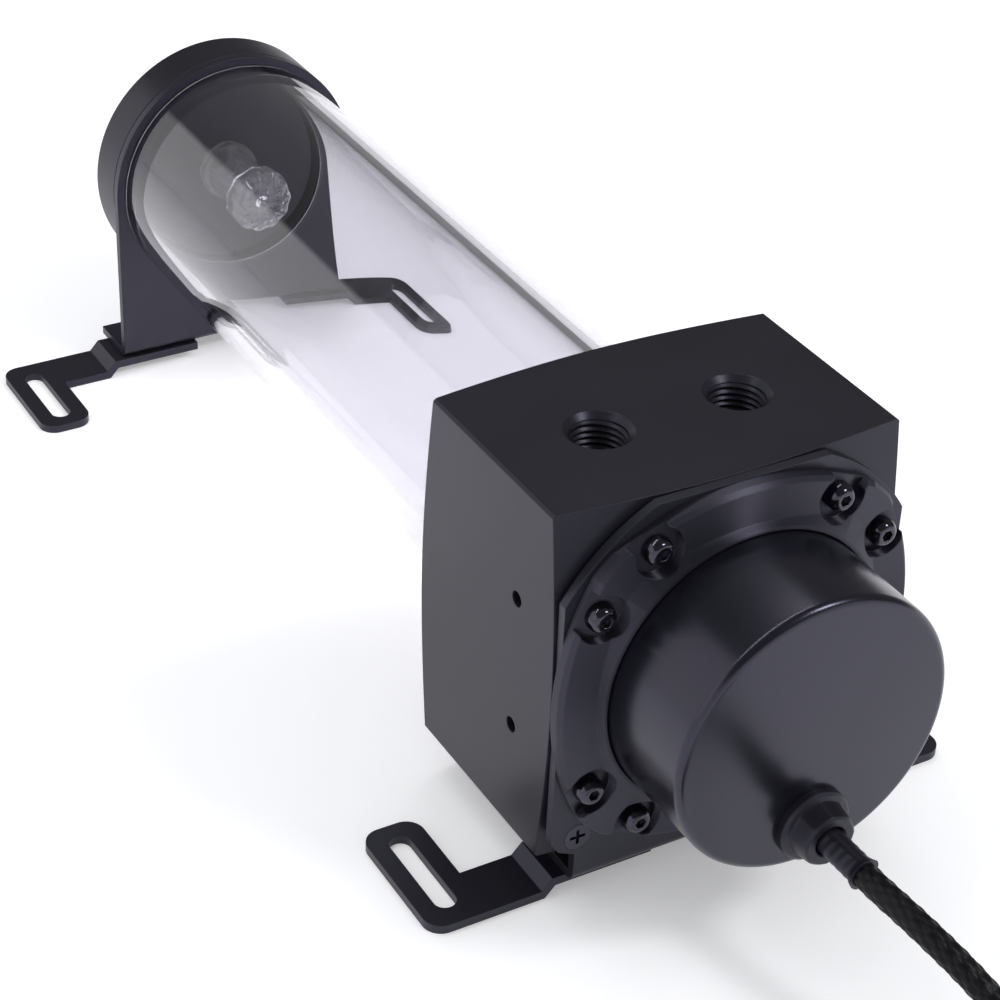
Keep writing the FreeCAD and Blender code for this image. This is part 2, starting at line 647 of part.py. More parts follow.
def rotor_magnet():
    half = half_ball(ROTOR_BALL_RADIUS - ROTOR_GAP, -0.4)
    return half.cut(rod(BEARING_RADIUS, -ROTOR_BALL_RADIUS, 1))


def impeller():
    disc = turned([(0, DISC_BACK), (IMPELLER_RADIUS, DISC_BACK), (IMPELLER_RADIUS, DISC_FRONT),
                   (BEARING_RADIUS + 2.0, DISC_FRONT), (BEARING_RADIUS + 1.2, HUB_HEIGHT),
                   (0, HUB_HEIGHT)])
    boss = rod(ROTOR_BALL_RADIUS - 2.0, -0.4, DISC_BACK + 0.1)
    wheel = disc.fuse(boss).cut(rod(BEARING_RADIUS, -1, BALL_RADIUS + BEARING_LIP))
    for k in range(6):
        wheel = wheel.fuse(vane(60 * k, DISC_FRONT - 0.3, VOLUTE_DEPTH - VANE_GAP))
    return wheel.removeSplitter()


def vane(angle, y0, y1):
    """A blade curved back from the eye to the rim."""
    inner = EYE_RADIUS + 0.4
    outer = IMPELLER_RADIUS - 0.4
    middle = (inner + outer) / 2
    sweep = math.radians(38)
    bend = 0.36 * sweep

    def at(radius, turn, shift):
        a = math.radians(angle) + turn
        return vec(radius * math.cos(a) - shift * math.sin(a), y0,
                   radius * math.sin(a) + shift * math.cos(a))

    near = Part.Arc(at(inner, 0, 0), at(middle, bend, 0), at(outer, sweep, 0)).toShape()
    tip = Part.LineSegment(at(outer, sweep, 0), at(outer, sweep, VANE_THICK)).toShape()
    far = Part.Arc(at(outer, sweep, VANE_THICK), at(middle, bend, VANE_THICK),
                   at(inner, 0, VANE_THICK)).toShape()
    root = Part.LineSegment(at(inner, 0, VANE_THICK), at(inner, 0, 0)).toShape()
    return Part.Face(Part.Wire([near, tip, far, root])).extrude(vec(0, y1 - y0, 0))


def pump_seal():
    seal = collar(GROOVE_OUTER - FIT, GROOVE_INNER + FIT, 0, GROOVE_DEPTH)
    for radius in (GROOVE_OUTER - FIT, GROOVE_INNER + FIT):
        for y in (0, GROOVE_DEPTH):
            seal = bevel_rim(seal, y, radius, 0.4)
    return seal


def tube_seal(y0, y1):
    return collar(NECK_RADIUS - FIT, BORE_RADIUS + FIT, y0, y1)


def reservoir_tube():
    tube = rod(TUBE_RADIUS, BLOCK_DEPTH, PLATE_Y)
    neck = rod(NECK_RADIUS, BLOCK_DEPTH - NECK_LENGTH, CAP_Y + CAP_NECK_LENGTH - SHEET)
    return tube.fuse(neck).cut(rod(BORE_RADIUS, 0, CAP_END_Y))


def end_cap():
    cap = rod(CAP_RADIUS, CAP_Y, CAP_END_Y)
    cap = bevel_rim(cap, CAP_END_Y, CAP_RADIUS, 0.8)
    cap = bevel_rim(cap, CAP_Y, CAP_RADIUS, 0.4)
    cap = cap.cut(rod(NECK_RADIUS + LOOSE / 2, CAP_Y - 1, CAP_SOCKET_END))
    core = rod(BORE_RADIUS - LOOSE, CAP_FACE_Y, CAP_END_Y - 1)
    cap = cap.fuse(core).removeSplitter()
    cap = cap.cut(rod(PORT_RADIUS, CAP_Y - 1, CAP_END_Y + 1))
    return cap.cut(rod(PLUG_RADIUS - 1.0, CAP_END_Y - PLUG_SEAL, CAP_END_Y + 1))


def rear_port_plug():
    head = rod(PLUG_RADIUS, CAP_END_Y, REAR_Y)
    head = bevel_rim(head, REAR_Y, PLUG_RADIUS, 0.6)
    shank = rod(PORT_RADIUS - FIT, CAP_END_Y - PLUG_SHANK, CAP_END_Y + 1)
    return head.fuse(shank).cut(hex_prism(PLUG_HEX, REAR_Y - PLUG_HEX_DEPTH, REAR_Y + 1, 0, 0))


def plug_seal():
    return collar(PLUG_RADIUS - 1.4, PORT_RADIUS, CAP_END_Y - PLUG_SEAL + 0.3, CAP_END_Y)


def diffuser_stub():
    """A clear spout on the cap's inner face, with a spigot in the cap's port."""
    stub = rod(STUB_RADIUS, ROSE_Y, CAP_FACE_Y)
    spigot = rod(PORT_RADIUS - FIT, CAP_FACE_Y - 1, CAP_FACE_Y + STUB_SPIGOT)
    return stub.fuse(spigot).cut(rod(STUB_BORE, ROSE_Y - 1, CAP_FACE_Y + STUB_SPIGOT + 1))


def diffuser_head():
    """A clear, fluted rose on the spout's end."""
    tip = ROSE_Y - ROSE_LENGTH
    head = Part.makeCone(ROSE_TIP, ROSE_RADIUS, ROSE_TAPER, vec(0, tip, 0), vec(0, 1, 0))
    head = head.fuse(rod(ROSE_RADIUS, tip + ROSE_TAPER, ROSE_Y))
    for k in range(10):
        flute = rod(FLUTE_RADIUS, tip - 1, ROSE_Y + 1, FLUTE_PLACE, 0)
        flute.rotate(vec(0, 0, 0), vec(0, 1, 0), 36 * k)
        head = head.cut(flute)
    for k in range(6):
        hole = rod(ROSE_HOLE, tip - 1, ROSE_Y - ROSE_BACK, ROSE_HOLE_PLACE, 0)
        hole.rotate(vec(0, 0, 0), vec(0, 1, 0), 60 * k)
        head = head.cut(hole)
    head = head.cut(rod(ROSE_EYE, tip - 1, ROSE_Y - ROSE_BACK))
    return head.cut(rod(STUB_BORE, ROSE_Y - ROSE_BACK - 0.1, ROSE_Y + 1))


def in_frame(x, y, z):
    """A point of the finished frame, in the frame that the pieces are drawn in."""
    return vec(x, y + CENTRE_Y, z + FLOOR)


def cable_tube(route, name):
    """A round tube along straight runs joined by tangent arcs."""
    points = [in_frame(*p) for p in route]
    edges = []
    start = points[0]
    for before, at, after in zip(points, points[1:], points[2:]):
        a = (before - at).normalize()
        b = (after - at).normalize()
        half_turn = (math.pi - a.getAngle(b)) / 2
        back = 0.45 * min(before.distanceToPoint(at), after.distanceToPoint(at))
        radius = back / math.tan(half_turn)
        print(name, "radius", round(radius, 1), "turn", round(math.degrees(2 * half_turn), 1))
        inner = at + (a + b).normalize() * (radius / math.cos(half_turn) - radius)
        edges.append(Part.LineSegment(start, at + a * back).toShape())
        edges.append(Part.Arc(at + a * back, inner, at + b * back).toShape())
        start = at + b * back
    edges.append(Part.LineSegment(start, points[-1]).toShape())
    path = Part.Wire(edges)
    circle = Part.Circle(points[0], (points[1] - points[0]).normalize(), CABLE_RADIUS)
    tube = path.makePipeShell([Part.Wire(circle.toShape())], True, False)
    wanted = math.pi * CABLE_RADIUS ** 2 * path.Length
    print(name, "length", round(path.Length, 1), "volume over section by length",
          round(tube.Volume / wanted, 4))
    return tube


def heat_shrink_sleeve():
    """The sleeve that eases the cable out of the gland."""
    start = vec(GLAND_X, -CAN_LENGTH - GLAND_LENGTH + GLAND_MOUTH_DEPTH, GLAND_Z)
    end = in_frame(*CABLE_ROUTE[0])
    way = end - start
    reach = way.Length
    way.normalize()
    sleeve = Part.makeCone(CABLE_RADIUS + 0.3, CABLE_RADIUS + 0.1, reach, start, way)
    cuff = Part.makeCone(CABLE_RADIUS + 0.1, CABLE_RADIUS + 0.45, 1.4, end - way * 1.4, way)
    return sleeve.fuse(cuff)


def cable_coil():
    """The outer shape of the put-away cable: one full turn on the floor and half a turn on it."""
    centre = in_frame(COIL_CENTRE[0], COIL_CENTRE[1], 0.05)
    outer = COIL_RADIUS + CABLE_RADIUS
    inner = COIL_RADIUS - CABLE_RADIUS
    tall = 4 * CABLE_RADIUS
    up = vec(0, 0, 1)
    ring = Part.makeCylinder(outer, tall / 2, centre, up)
    half = Part.makeCylinder(outer, tall, centre, up)
    reach = 2 * outer
    half = half.common(box(centre.x - reach, centre.x + reach, centre.y - reach, centre.y,
                           centre.z - 1, centre.z + reach))
    ring = ring.fuse(half).cut(Part.makeCylinder(inner, tall + 2, centre - up, up))
    return ring.removeSplitter()


def power_connector():
    width, length, height = CONNECTOR
    x, y, z = TAIL_ROUTE[-1]
    start = in_frame(x, y, 0)
    body = box(start.x - width / 2, start.x + width / 2, start.y, start.y + length, start.z,
               start.z + height)
    upright_edges = [e for e in body.Edges if abs(e.Vertexes[0].X - e.Vertexes[1].X) < 0.01
                     and abs(e.Vertexes[0].Z - e.Vertexes[1].Z) < 0.01
                     and e.Vertexes[0].Z > start.z + 1]
    body = body.makeChamfer(CONNECTOR_BEVEL, upright_edges)
    end = start.y + length
    for k in range(4):
        contact_x = start.x + (k - 1.5) * CONTACT_PITCH
        body = body.cut(rod(CONTACT_HOLE, end - CONTACT_DEPTH, end + 1, contact_x,
                            start.z + height / 2))
    return body


def save(name, shape):
    placed = shape.copy()
    placed.translate(vec(0, -CENTRE_Y, -FLOOR))
    placed.exportStep("parts/" + name + ".step")
    b = placed.BoundBox
    print(name, placed.isValid(), len(placed.Solids),
          [round(v, 2) for v in (b.XMin, b.XMax, b.YMin, b.YMax, b.ZMin, b.ZMax)])


os.makedirs("parts", exist_ok=True)

right_front = front_foot()
right_rear = rear_foot()
save("pump_block", pump_block())
save("front_bracket", front_bracket())
save("rear_bracket", rear_bracket())
save("front_right_foot", right_front)
save("front_left_foot", mirrored(right_front))
save("rear_right_foot", right_rear)
save("rear_left_foot", mirrored(right_rear))
save("foot_screws", foot_screws())
save("bracket_screws", bracket_screws())
save("clamp_ring", clamp_ring())
save("clamp_ring_screws", clamp_ring_screws())
save("pump_housing", pump_housing())
save("cable_gland", cable_gland())
save("cable_clamp", cable_clamp())
save("control_board", control_board())
save("rotor_cup", rotor_cup())
save("stator_core", stator_core())
save("stator_coils", stator_coils())
save("bearing_ball", bearing_ball())
save("bearing_post", bearing_post())
save("rotor_bearing", rotor_bearing())
save("rotor_magnet", rotor_magnet())
save("impeller", impeller())
save("pump_seal", pump_seal())
save("front_tube_seal", tube_seal(SOCKET_Y, SOCKET_Y + SEAL_THICK))
save("rear_tube_seal", tube_seal(CAP_SOCKET_END - SHEET, CAP_SOCKET_END))
save("reservoir_tube", reservoir_tube())
save("end_cap", end_cap())
save("rear_port_plug", rear_port_plug())
save("plug_seal", plug_seal())
save("diffuser_stub", diffuser_stub())
save("diffuser_head", diffuser_head())
save("heat_shrink_sleeve", heat_shrink_sleeve())
save("pump_cable", cable_tube(CABLE_ROUTE, "pump_cable"))
save("cable_coil", cable_coil())
save("cable_tail", cable_tube(TAIL_ROUTE, "cable_tail"))
save("power_connector", power_connector())
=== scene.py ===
import math

import bpy
from mathutils import Matrix, Vector


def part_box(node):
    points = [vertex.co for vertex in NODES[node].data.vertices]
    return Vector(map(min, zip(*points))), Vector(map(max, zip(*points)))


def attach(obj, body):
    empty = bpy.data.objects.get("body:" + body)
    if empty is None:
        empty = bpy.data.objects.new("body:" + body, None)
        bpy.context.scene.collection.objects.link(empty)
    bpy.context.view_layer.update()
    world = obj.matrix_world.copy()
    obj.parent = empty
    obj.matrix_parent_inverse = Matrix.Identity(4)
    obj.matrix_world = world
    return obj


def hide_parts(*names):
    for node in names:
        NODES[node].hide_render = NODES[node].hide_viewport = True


bl_info = {
    "name": "Coolant pump reservoir",
    "version": (1, 0, 0),
    "blender": (4, 2, 0),
    "location": "View3D > Sidebar > Reservoir",
    "description": "Dresses the pump, its clear tube, brackets and braided cable",
    "category": "Object",
}

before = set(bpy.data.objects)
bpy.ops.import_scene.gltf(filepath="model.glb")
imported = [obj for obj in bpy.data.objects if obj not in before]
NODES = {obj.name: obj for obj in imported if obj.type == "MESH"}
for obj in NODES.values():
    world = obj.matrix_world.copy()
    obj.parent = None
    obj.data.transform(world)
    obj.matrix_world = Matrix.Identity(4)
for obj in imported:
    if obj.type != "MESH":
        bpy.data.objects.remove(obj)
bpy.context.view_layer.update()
MM = 0.001

# Sizes of the clear tube and the parts in it
TUBE_WALL = 5 * MM
NECK_STEP = 1.2 * MM
TUBE_EDGE = 0.3 * MM
CAP_THREAD_END = 5.4 * MM
CAP_THREAD_HEIGHT = 0.5 * MM
CAP_THREAD_SINK = 0.08 * MM
STUB_RADIUS = 6.3 * MM
STUB_BORE = 3.6 * MM
STUB_SPIGOT = 4.2 * MM
STUB_SPIGOT_RADIUS = 5.6 * MM
STUB_COLLAR = 2.6 * MM
STUB_COLLAR_RADIUS = 7.4 * MM
ROSE_FLUTES = 11
TIP_FLUTE_DEPTH = 0.24
RIM_FLUTE_DEPTH = 0.05

# Sizes of the pump
SHEET = 2 * MM
CAN_RADIUS = 29.75 * MM
CAN_WALL = 2 * MM
CAN_RIM = 1.8 * MM
CAN_CENTRE_DISC = 1 * MM
RING_COLLAR = 1.8 * MM
POCKET_DEPTH = 2 * MM
SCREW_NEAR = 20 * MM
SCREW_FAR = 31.2 * MM
BUTTON_RADIUS = 2.9 * MM
BUTTON_HEIGHT = 3.2 * MM
BUTTON_DOME = 2.1 * MM
BUTTON_HEX = 2.1 * MM
BUTTON_HEX_DEPTH = 1.1 * MM
SHANK_RADIUS = 1.4 * MM
SHANK_LENGTH = 12 * MM
PORT_X = 15.5 * MM
PORT_SETBACK = 24.4 * MM
PORT_RADIUS = 5.72 * MM
PORT_DEPTH = 13 * MM
PORT_MOUTH = 1.5 * MM
PORT_THREAD_HEIGHT = 0.55 * MM
PORT_THREAD_SINK = 0.02 * MM
GLAND_RADIUS = 5.8 * MM
GLAND_COLLAR = 1.9 * MM
GLAND_SHANK = 4.9 * MM
GLAND_SHANK_DEPTH = 1 * MM
GLAND_MOUTH = 3.1 * MM
GLAND_MOUTH_DEPTH = 1.5 * MM
GLAND_FLATS = 8
GLAND_FLATNESS = 0.35

# Sizes of the cable, its braid, its shrink sleeve and the contacts in its connector
CABLE_RADIUS = 2.65 * MM
CABLE_STEP = 0.42 * MM
BRAID_PROUD = 0.05 * MM
BRAID_RELIEF = 0.28 * MM
STRAND_CROWN = 0.6
CROSSING_DIP = 0.45
POINTS_PER_STRAND = 8
SLEEVE_LENGTH = 11 * MM
SLEEVE_THICK = 0.22 * MM
CONTACTS = 4
CONTACT_PITCH = 5.08 * MM
CONTACT_RADIUS = 1.3 * MM
CONTACT_BORE = 1 * MM
CONTACT_BACK = 7.6 * MM
CONTACT_RECESS = 1.2 * MM

# Places worked out from the frame
tube_low, tube_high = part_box("reservoir_tube")
block_low, block_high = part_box("pump_block")
can_low, can_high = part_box("pump_housing")
gland_low, gland_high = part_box("cable_gland")
head_low, head_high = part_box("diffuser_head")
stub_low, stub_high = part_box("diffuser_stub")
CAP_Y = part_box("end_cap")[0].y
PLATE_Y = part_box("rear_bracket")[0].y
RING_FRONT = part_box("clamp_ring")[0].y + RING_COLLAR
AXIS_Z = (tube_low.z + tube_high.z) / 2
TUBE_RADIUS = (tube_high.x - tube_low.x) / 2
NECK_RADIUS = TUBE_RADIUS - NECK_STEP
PORT_Y = block_low.y + PORT_SETBACK
GLAND_X = (gland_low.x + gland_high.x) / 2
GLAND_Z = (gland_low.z + gland_high.z) / 2

# The cable's route: out of the gland, down to the floor, round its coil and to the connector
CABLE_START = [
    (1.2 * MM, -136.3 * MM, 29.0 * MM),
    (2.0 * MM, -148.7 * MM, 28.0 * MM),
    (4.2 * MM, -160.9 * MM, 26.4 * MM),
    (8.8 * MM, -174.9 * MM, 20.8 * MM),
    (14.4 * MM, -189.4 * MM, 10.6 * MM),
    (19.4 * MM, -207.0 * MM, 2.7 * MM),
]
CABLE_TAIL = [
    (-41.9 * MM, -224.5 * MM, 7.9 * MM),
    (-44.6 * MM, -211.0 * MM, 6.3 * MM),
    (-46.0 * MM, -197.5 * MM, 5.6 * MM),
]
COIL_CENTRE = (-8.4 * MM, -231.9 * MM)
COIL_RADIUS = 32.0 * MM
COIL_START_DEGREES = 10.7
COIL_TURNS = 1.5
COIL_POINTS_PER_TURN = 14
FLOOR_HEIGHT = 2.7 * MM
SECOND_LAYER = 8.1 * MM
CLIMB_FROM = 0.76
CLIMB_TO = 0.92
# The spline runs inside its points, which stand further out by this much
COIL_POINTS_OUT = 1.012

# The camera: its angles in degrees, its distance, and the point that it looks at
CAMERA_AZIMUTH = -30.81
CAMERA_ELEVATION = 33.35
CAMERA_ROLL = 2.46
CAMERA_DISTANCE = 474.36 * MM
CAMERA_TARGET = (-37.3 * MM, -78.0 * MM, 80.5 * MM)
SENSOR_WIDTH = 36.0

# The lamps: their places, the points that they shine at, and their sizes
KEY_PLACE = (0.56, -0.72, 0.98)
KEY_SIZE = (0.27, 0.27)
RIM_PLACE = (-0.15, 0.3, 1.09)
RIM_SIZE = (1.4, 0.07)
FILL_PLACE = (-0.9, -0.2, 0.45)
FILL_SIZE = (0.6, 0.6)
OBJECT_MIDDLE = (0.0, 0.0, 0.04)
PUMP_TOP = (0.0, -0.12, 0.08)

# The room: two dark panels above, one behind on the right and one in front, which only glosses
# and glass show. Each has a direction and the cosine of the angle that it reaches to.
PANELS = [((0.505, 0.303, 0.808), 0.41), ((0.0, -0.45, 0.893), 0.62)]
PANEL_EDGE_OUT = 0.02
PANEL_EDGE_IN = 0.03
PANEL_DEPTH = 0.86
WHITE = (1.0, 1.0, 1.0, 1.0)
ROOM_COLOUR = (0.97, 0.98, 1.0, 1.0)

# The floor, and the share of its white that doesn't take a shadow
FLOOR_COLOUR = (0.86, 0.86, 0.88)
FLOOR_GLOW = 0.26
FLOOR_HALF = 3.0

# What the coated finishes share: a cool sheen, and slow changes of tone and gloss
COOL_SHEEN = (0.77, 0.75, 1.0, 1.0)
WEAR_SIZE = 25 * MM
WEAR_SPREAD = 0.04


class StageSettings(bpy.types.PropertyGroup):
    lens: bpy.props.FloatProperty(
        name="Lens", description="Focal length on a 36 mm wide sensor", default=92.94)
    key_power: bpy.props.FloatProperty(
        name="Key light", description="Power of the soft lamp above and in front, on the right",
        default=4.5, unit="POWER")
    rim_power: bpy.props.FloatProperty(
        name="Rim light", description="Power of the long lamp that lines the can's rim",
        default=3.5, unit="POWER")
    fill_power: bpy.props.FloatProperty(
        name="Fill light", description="Power of the soft lamp on the left", default=0.3,
        unit="POWER")
    room_light: bpy.props.FloatProperty(
        name="Room light", description="Strength of the even light from all round", default=0.7)


class FinishSettings(bpy.types.PropertyGroup):
    acetal: bpy.props.FloatVectorProperty(
        name="Acetal", description="Colour of the machined block and end cap",
        default=(0.010, 0.010, 0.0135), subtype="COLOR")
    anodised: bpy.props.FloatVectorProperty(
        name="Anodised", description="Colour of the pump can and clamp ring",
        default=(0.005, 0.005, 0.008), subtype="COLOR")
    powder_coat: bpy.props.FloatVectorProperty(
        name="Powder coat", description="Colour of the brackets and feet",
        default=(0.007, 0.007, 0.01), subtype="COLOR")
    acrylic: bpy.props.FloatVectorProperty(
        name="Acrylic", description="Tint of the clear tube", default=(0.88, 0.87, 0.915),
        subtype="COLOR")
    satin: bpy.props.FloatProperty(
        name="Satin", description="Roughness of the block's machined faces", default=0.36,
        min=0.05, max=1.0)


class DetailSettings(bpy.types.PropertyGroup):
    thread_pitch: bpy.props.FloatProperty(
        name="Port thread", description="Distance from one thread of a port to the next",
        default=1.337 * MM, unit="LENGTH", precision=5)
    cap_thread_pitch: bpy.props.FloatProperty(
        name="Tube thread", description="Distance from one thread of the tube's end to the next",
        default=1.9 * MM, unit="LENGTH", precision=5)
    braid_strands: bpy.props.IntProperty(
        name="Braid strands", description="Strands round the cable in each direction",
        default=9, min=6, max=40)
    braid_length: bpy.props.FloatProperty(
        name="Braid length", description="Length of one crossing of the braid along the cable",
        default=3.6 * MM, unit="LENGTH", precision=5)


# Materials

def new_material(name, colour, roughness, **sockets):
    """A material with its principled shader, and the numbers that are the same all over."""
    material = bpy.data.materials.new(name)
    material.use_nodes = True
    shader = material.node_tree.nodes["Principled BSDF"]
    shader.inputs["Base Color"].default_value = (*colour, 1.0)
    shader.inputs["Roughness"].default_value = roughness
    for socket, value in sockets.items():
        shader.inputs[socket.replace("_", " ")].default_value = value
    return material, shader


def node(material, kind, **values):
    """A new node, with values for its settings or for its sockets."""
    made = material.node_tree.nodes.new(kind)
    for name, value in values.items():
        if name in made.bl_rna.properties:
            setattr(made, name, value)
        else:
            made.inputs[name.replace("_", " ")].default_value = value
    return made


def join(material, output, socket):
    material.node_tree.links.new(output, socket)


def add_relief(material, shader, size, depth, strength, detail, coarseness):
    """A relief of lumps of one size. It gives the nodes of its place and its bump."""
    place = node(material, "ShaderNodeTexCoord")
    lumps = node(material, "ShaderNodeTexNoise", Scale=1 / size, Detail=detail,
                 Roughness=coarseness)
    bump = node(material, "ShaderNodeBump", Strength=strength, Distance=depth)
    join(material, place.outputs["Object"], lumps.inputs["Vector"])
    join(material, lumps.outputs["Fac"], bump.inputs["Height"])
    join(material, bump.outputs["Normal"], shader.inputs["Normal"])
    return place, bump


def add_ramp(material, share, low, high, dark, light):
    """A colour that is dark where the share is low, and light where it is high."""
    ramp = node(material, "ShaderNodeValToRGB")
    for stop, position, colour in zip(ramp.color_ramp.elements, (low, high), (dark, light)):
        stop.position = position
        stop.color = (*colour, 1.0)
    join(material, share, ramp.inputs["Fac"])
    return ramp.outputs["Color"]


def add_wear(material, shader, place, colour, lift, roughness):
    """Slow changes of colour and gloss across a surface, as handling and machining leave."""
    cloud = node(material, "ShaderNodeTexNoise", Scale=1 / WEAR_SIZE, Detail=4.0)
    join(material, place.outputs["Object"], cloud.inputs["Vector"])
    lifted = [min(1.0, part * lift) for part in colour]
    tone = add_ramp(material, cloud.outputs["Fac"], low=0.3, high=0.75, dark=colour,
                    light=lifted)
    join(material, tone, shader.inputs["Base Color"])
    gloss = node(material, "ShaderNodeMapRange", To_Min=roughness - WEAR_SPREAD,
                 To_Max=roughness + WEAR_SPREAD)
    join(material, cloud.outputs["Fac"], gloss.inputs["Value"])
    join(material, gloss.outputs["Result"], shader.inputs["Roughness"])


def coated(name, colour, roughness, grain, depth, edge=0.25 * MM, lift=1.25, **sockets):
    """A finish with a fine grain, with edges that catch the light as if rounded, and with slow
    changes of tone."""
    material, shader = new_material(name, colour, roughness, Specular_Tint=COOL_SHEEN,
                                    **sockets)
    place, bump = add_relief(material, shader, grain, depth, strength=1.0, detail=3.0,
                             coarseness=0.6)
    soft_edge = node(material, "ShaderNodeBevel", samples=4, Radius=edge)
    join(material, soft_edge.outputs["Normal"], bump.inputs["Normal"])
    add_wear(material, shader, place, colour, lift, roughness)
    return material


def plain(name, colour, roughness, **sockets):
    """The quieter finish of the parts inside the pump and the connector."""
    return coated(name, colour, roughness, grain=0.4 * MM, depth=0.005 * MM, edge=0.1 * MM,
                  lift=1.15, **sockets)


def machined_acetal():
    finish = bpy.context.scene.reservoir_finish
    return coated("machined_acetal", finish.acetal, finish.satin, grain=0.3 * MM,
                  depth=0.0015 * MM, edge=0.35 * MM, Specular_IOR_Level=0.4)


def anodised_aluminium():
    finish = bpy.context.scene.reservoir_finish
    return coated("anodised_aluminium", finish.anodised, roughness=0.23, grain=0.15 * MM,
                  depth=0.0015 * MM, Specular_IOR_Level=0.7)


def turned_aluminium():
    """The ring's finish, whose fine turning marks draw a highlight out from the axis."""
    finish = bpy.context.scene.reservoir_finish
    material = coated("turned_aluminium", finish.anodised, roughness=0.44, grain=0.15 * MM,
                      depth=0.0015 * MM, edge=0.5 * MM, Specular_IOR_Level=0.9,
                      Anisotropic=1.0, Anisotropic_Rotation=0.25)
    marks = node(material, "ShaderNodeTangent", direction_type="RADIAL", axis="Y")
    shader = material.node_tree.nodes["Principled BSDF"]
    join(material, marks.outputs["Tangent"], shader.inputs["Tangent"])
    return material


def powder_coat():
    finish = bpy.context.scene.reservoir_finish
    return coated("powder_coat", finish.powder_coat, roughness=0.4, grain=0.6 * MM,
                  depth=0.002 * MM, edge=0.3 * MM, Specular_IOR_Level=0.6)


def black_oxide():
    return coated("black_oxide", (0.004, 0.004, 0.005), roughness=0.12, grain=0.1 * MM,
                  depth=0.0005 * MM, edge=0.12 * MM, Specular_IOR_Level=0.9)


def moulded_nylon():
    return coated("moulded_nylon", (0.009, 0.009, 0.012), roughness=0.42, grain=0.2 * MM,
                  depth=0.006 * MM)


def seal_rubber():
    return coated("seal_rubber", (0.012, 0.012, 0.013), roughness=0.62, grain=0.2 * MM,
                  depth=0.01 * MM, edge=0.1 * MM)


def clear_acrylic(name, roughness=0.0, through=1.0):
    """Clear plastic with a faint ripple, and the share of the light that goes through it."""
    finish = bpy.context.scene.reservoir_finish
    material, shader = new_material(name, finish.acrylic, roughness, IOR=1.49,
                                    Transmission_Weight=through, Coat_Weight=0.3)
    add_relief(material, shader, 30 * MM, 0.05 * MM, strength=0.15, detail=1.0,
               coarseness=0.5)
    return material


def braided_sleeve():
    """Woven strands of fine fibres. Their colour holds painted shade, darker in the gaps between
    them where the mesh lies lower, with the braid's own dark colour on the strands' backs.
    """
    material, shader = new_material("braided_sleeve", (0.01, 0.01, 0.012), roughness=0.4,
                                    Specular_IOR_Level=0.2)
    strand = node(material, "ShaderNodeAttribute", attribute_name="strand")
    # Painted shade: the colour darkens from the strands' backs down into the gaps, by the strand
    # height.
    tone = add_ramp(material, strand.outputs["Fac"], low=0.15, high=0.9,
                    dark=(0.001, 0.001, 0.0015), light=(0.008, 0.008, 0.01))
    join(material, tone, shader.inputs["Base Color"])
    add_relief(material, shader, 0.12 * MM, 0.03 * MM, strength=0.6, detail=2.0,
               coarseness=0.5)
    return material


def dress(material, *names):
    """Gives CAD nodes their material."""
    for name in names:
        mesh = NODES[name].data
        mesh.materials.clear()
        mesh.materials.append(material)


# Shapes

def add_mesh(name, points, faces, material, body, slot, sharp=30.0):
    """A piece of the object, smooth except where its faces meet at more than the sharp angle."""
    mesh = bpy.data.meshes.new(name)
    mesh.from_pydata(points, [], faces)
    mesh.validate()
    mesh.shade_smooth()
    mesh.set_sharp_from_angle(angle=math.radians(sharp))
    mesh.materials.append(material)
    piece = bpy.data.objects.new(name, mesh)
    bpy.context.scene.collection.objects.link(piece)
    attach(piece, body)
    return piece


def turned(profile, centre, segments, closed=False, shape=None):
    """Points and faces of a surface turned about a line along Y. The profile holds (radius, y)
    pairs. It is closed into a ring, or else a flat disc closes each end. A shape may change a
    radius by its row in the profile and its angle."""
    points = []
    for row, (radius, y) in enumerate(profile):
        for k in range(segments):
            a = 2 * math.pi * k / segments
            r = shape(row, radius, a) if shape else radius
            points.append((centre[0] + r * math.cos(a), y, centre[1] + r * math.sin(a)))
    faces = []
    rows = len(profile)
    last = rows if closed else rows - 1
    for row in range(last):
        low = row * segments
        high = ((row + 1) % rows) * segments
        for k in range(segments):
            n = (k + 1) % segments
            faces.append((low + k, high + k, high + n, low + n))
    if not closed:
        faces.append(tuple(range(segments)))
        faces.append(tuple(reversed(range((rows - 1) * segments, rows * segments))))
    return points, faces


def merged(parts):
    """The points and faces of many parts as one."""
    points = []
    faces = []
    for some_points, some_faces in parts:
        shift = len(points)
        points.extend(some_points)
        faces.extend(tuple(i + shift for i in face) for face in some_faces)
    return points, faces


def quarter_arc(corner, size, steps):
    """Points of a rounded outer edge, from the front face round to the side."""
    points = []
    for k in range(steps + 1):
        a = math.pi / 2 * (k / steps - 1)
        points.append((corner[0] + size * math.cos(a), corner[1] + size * math.sin(a)))
    return points


def polygon_reach(sides, angle):
    """How far a polygon reaches at an angle, with its flats at a distance of one."""
    half = math.pi / sides
    return 1 / math.cos(angle % (2 * half) - half)


def thread(radius, crest, pitch, start, end, centre, upright, segments):
    """A thread's ridge on a round wall: a helix of pointed section, which rises over its first
    half turn and sinks over its last. The foot and edge are half its width at wall and tip."""
    turns = (end - start) / pitch
    steps = int(turns * segments)
    foot = 0.46 * pitch
    edge = 0.08 * pitch
    points = []
    for k in range(steps + 1):
        t = k / steps
        a = 2 * math.pi * turns * t
        along = start + (end - start) * t
        rise = min(1.0, 2 * turns * t, 2 * turns * (1 - t))
        tip = radius + (crest - radius) * rise
        for r, shift in ((radius, -foot), (tip, -edge), (tip, edge), (radius, foot)):
            across = centre[0] + r * math.cos(a)
            aside = centre[1] + r * math.sin(a)
            if upright:
                points.append((across, aside, along + shift))
            else:
                points.append((across, along + shift, aside))
    faces = []
    for k in range(steps):
        for j in range(3):
            a = 4 * k + j
            faces.append((a, a + 1, a + 5, a + 4))
    return points, faces


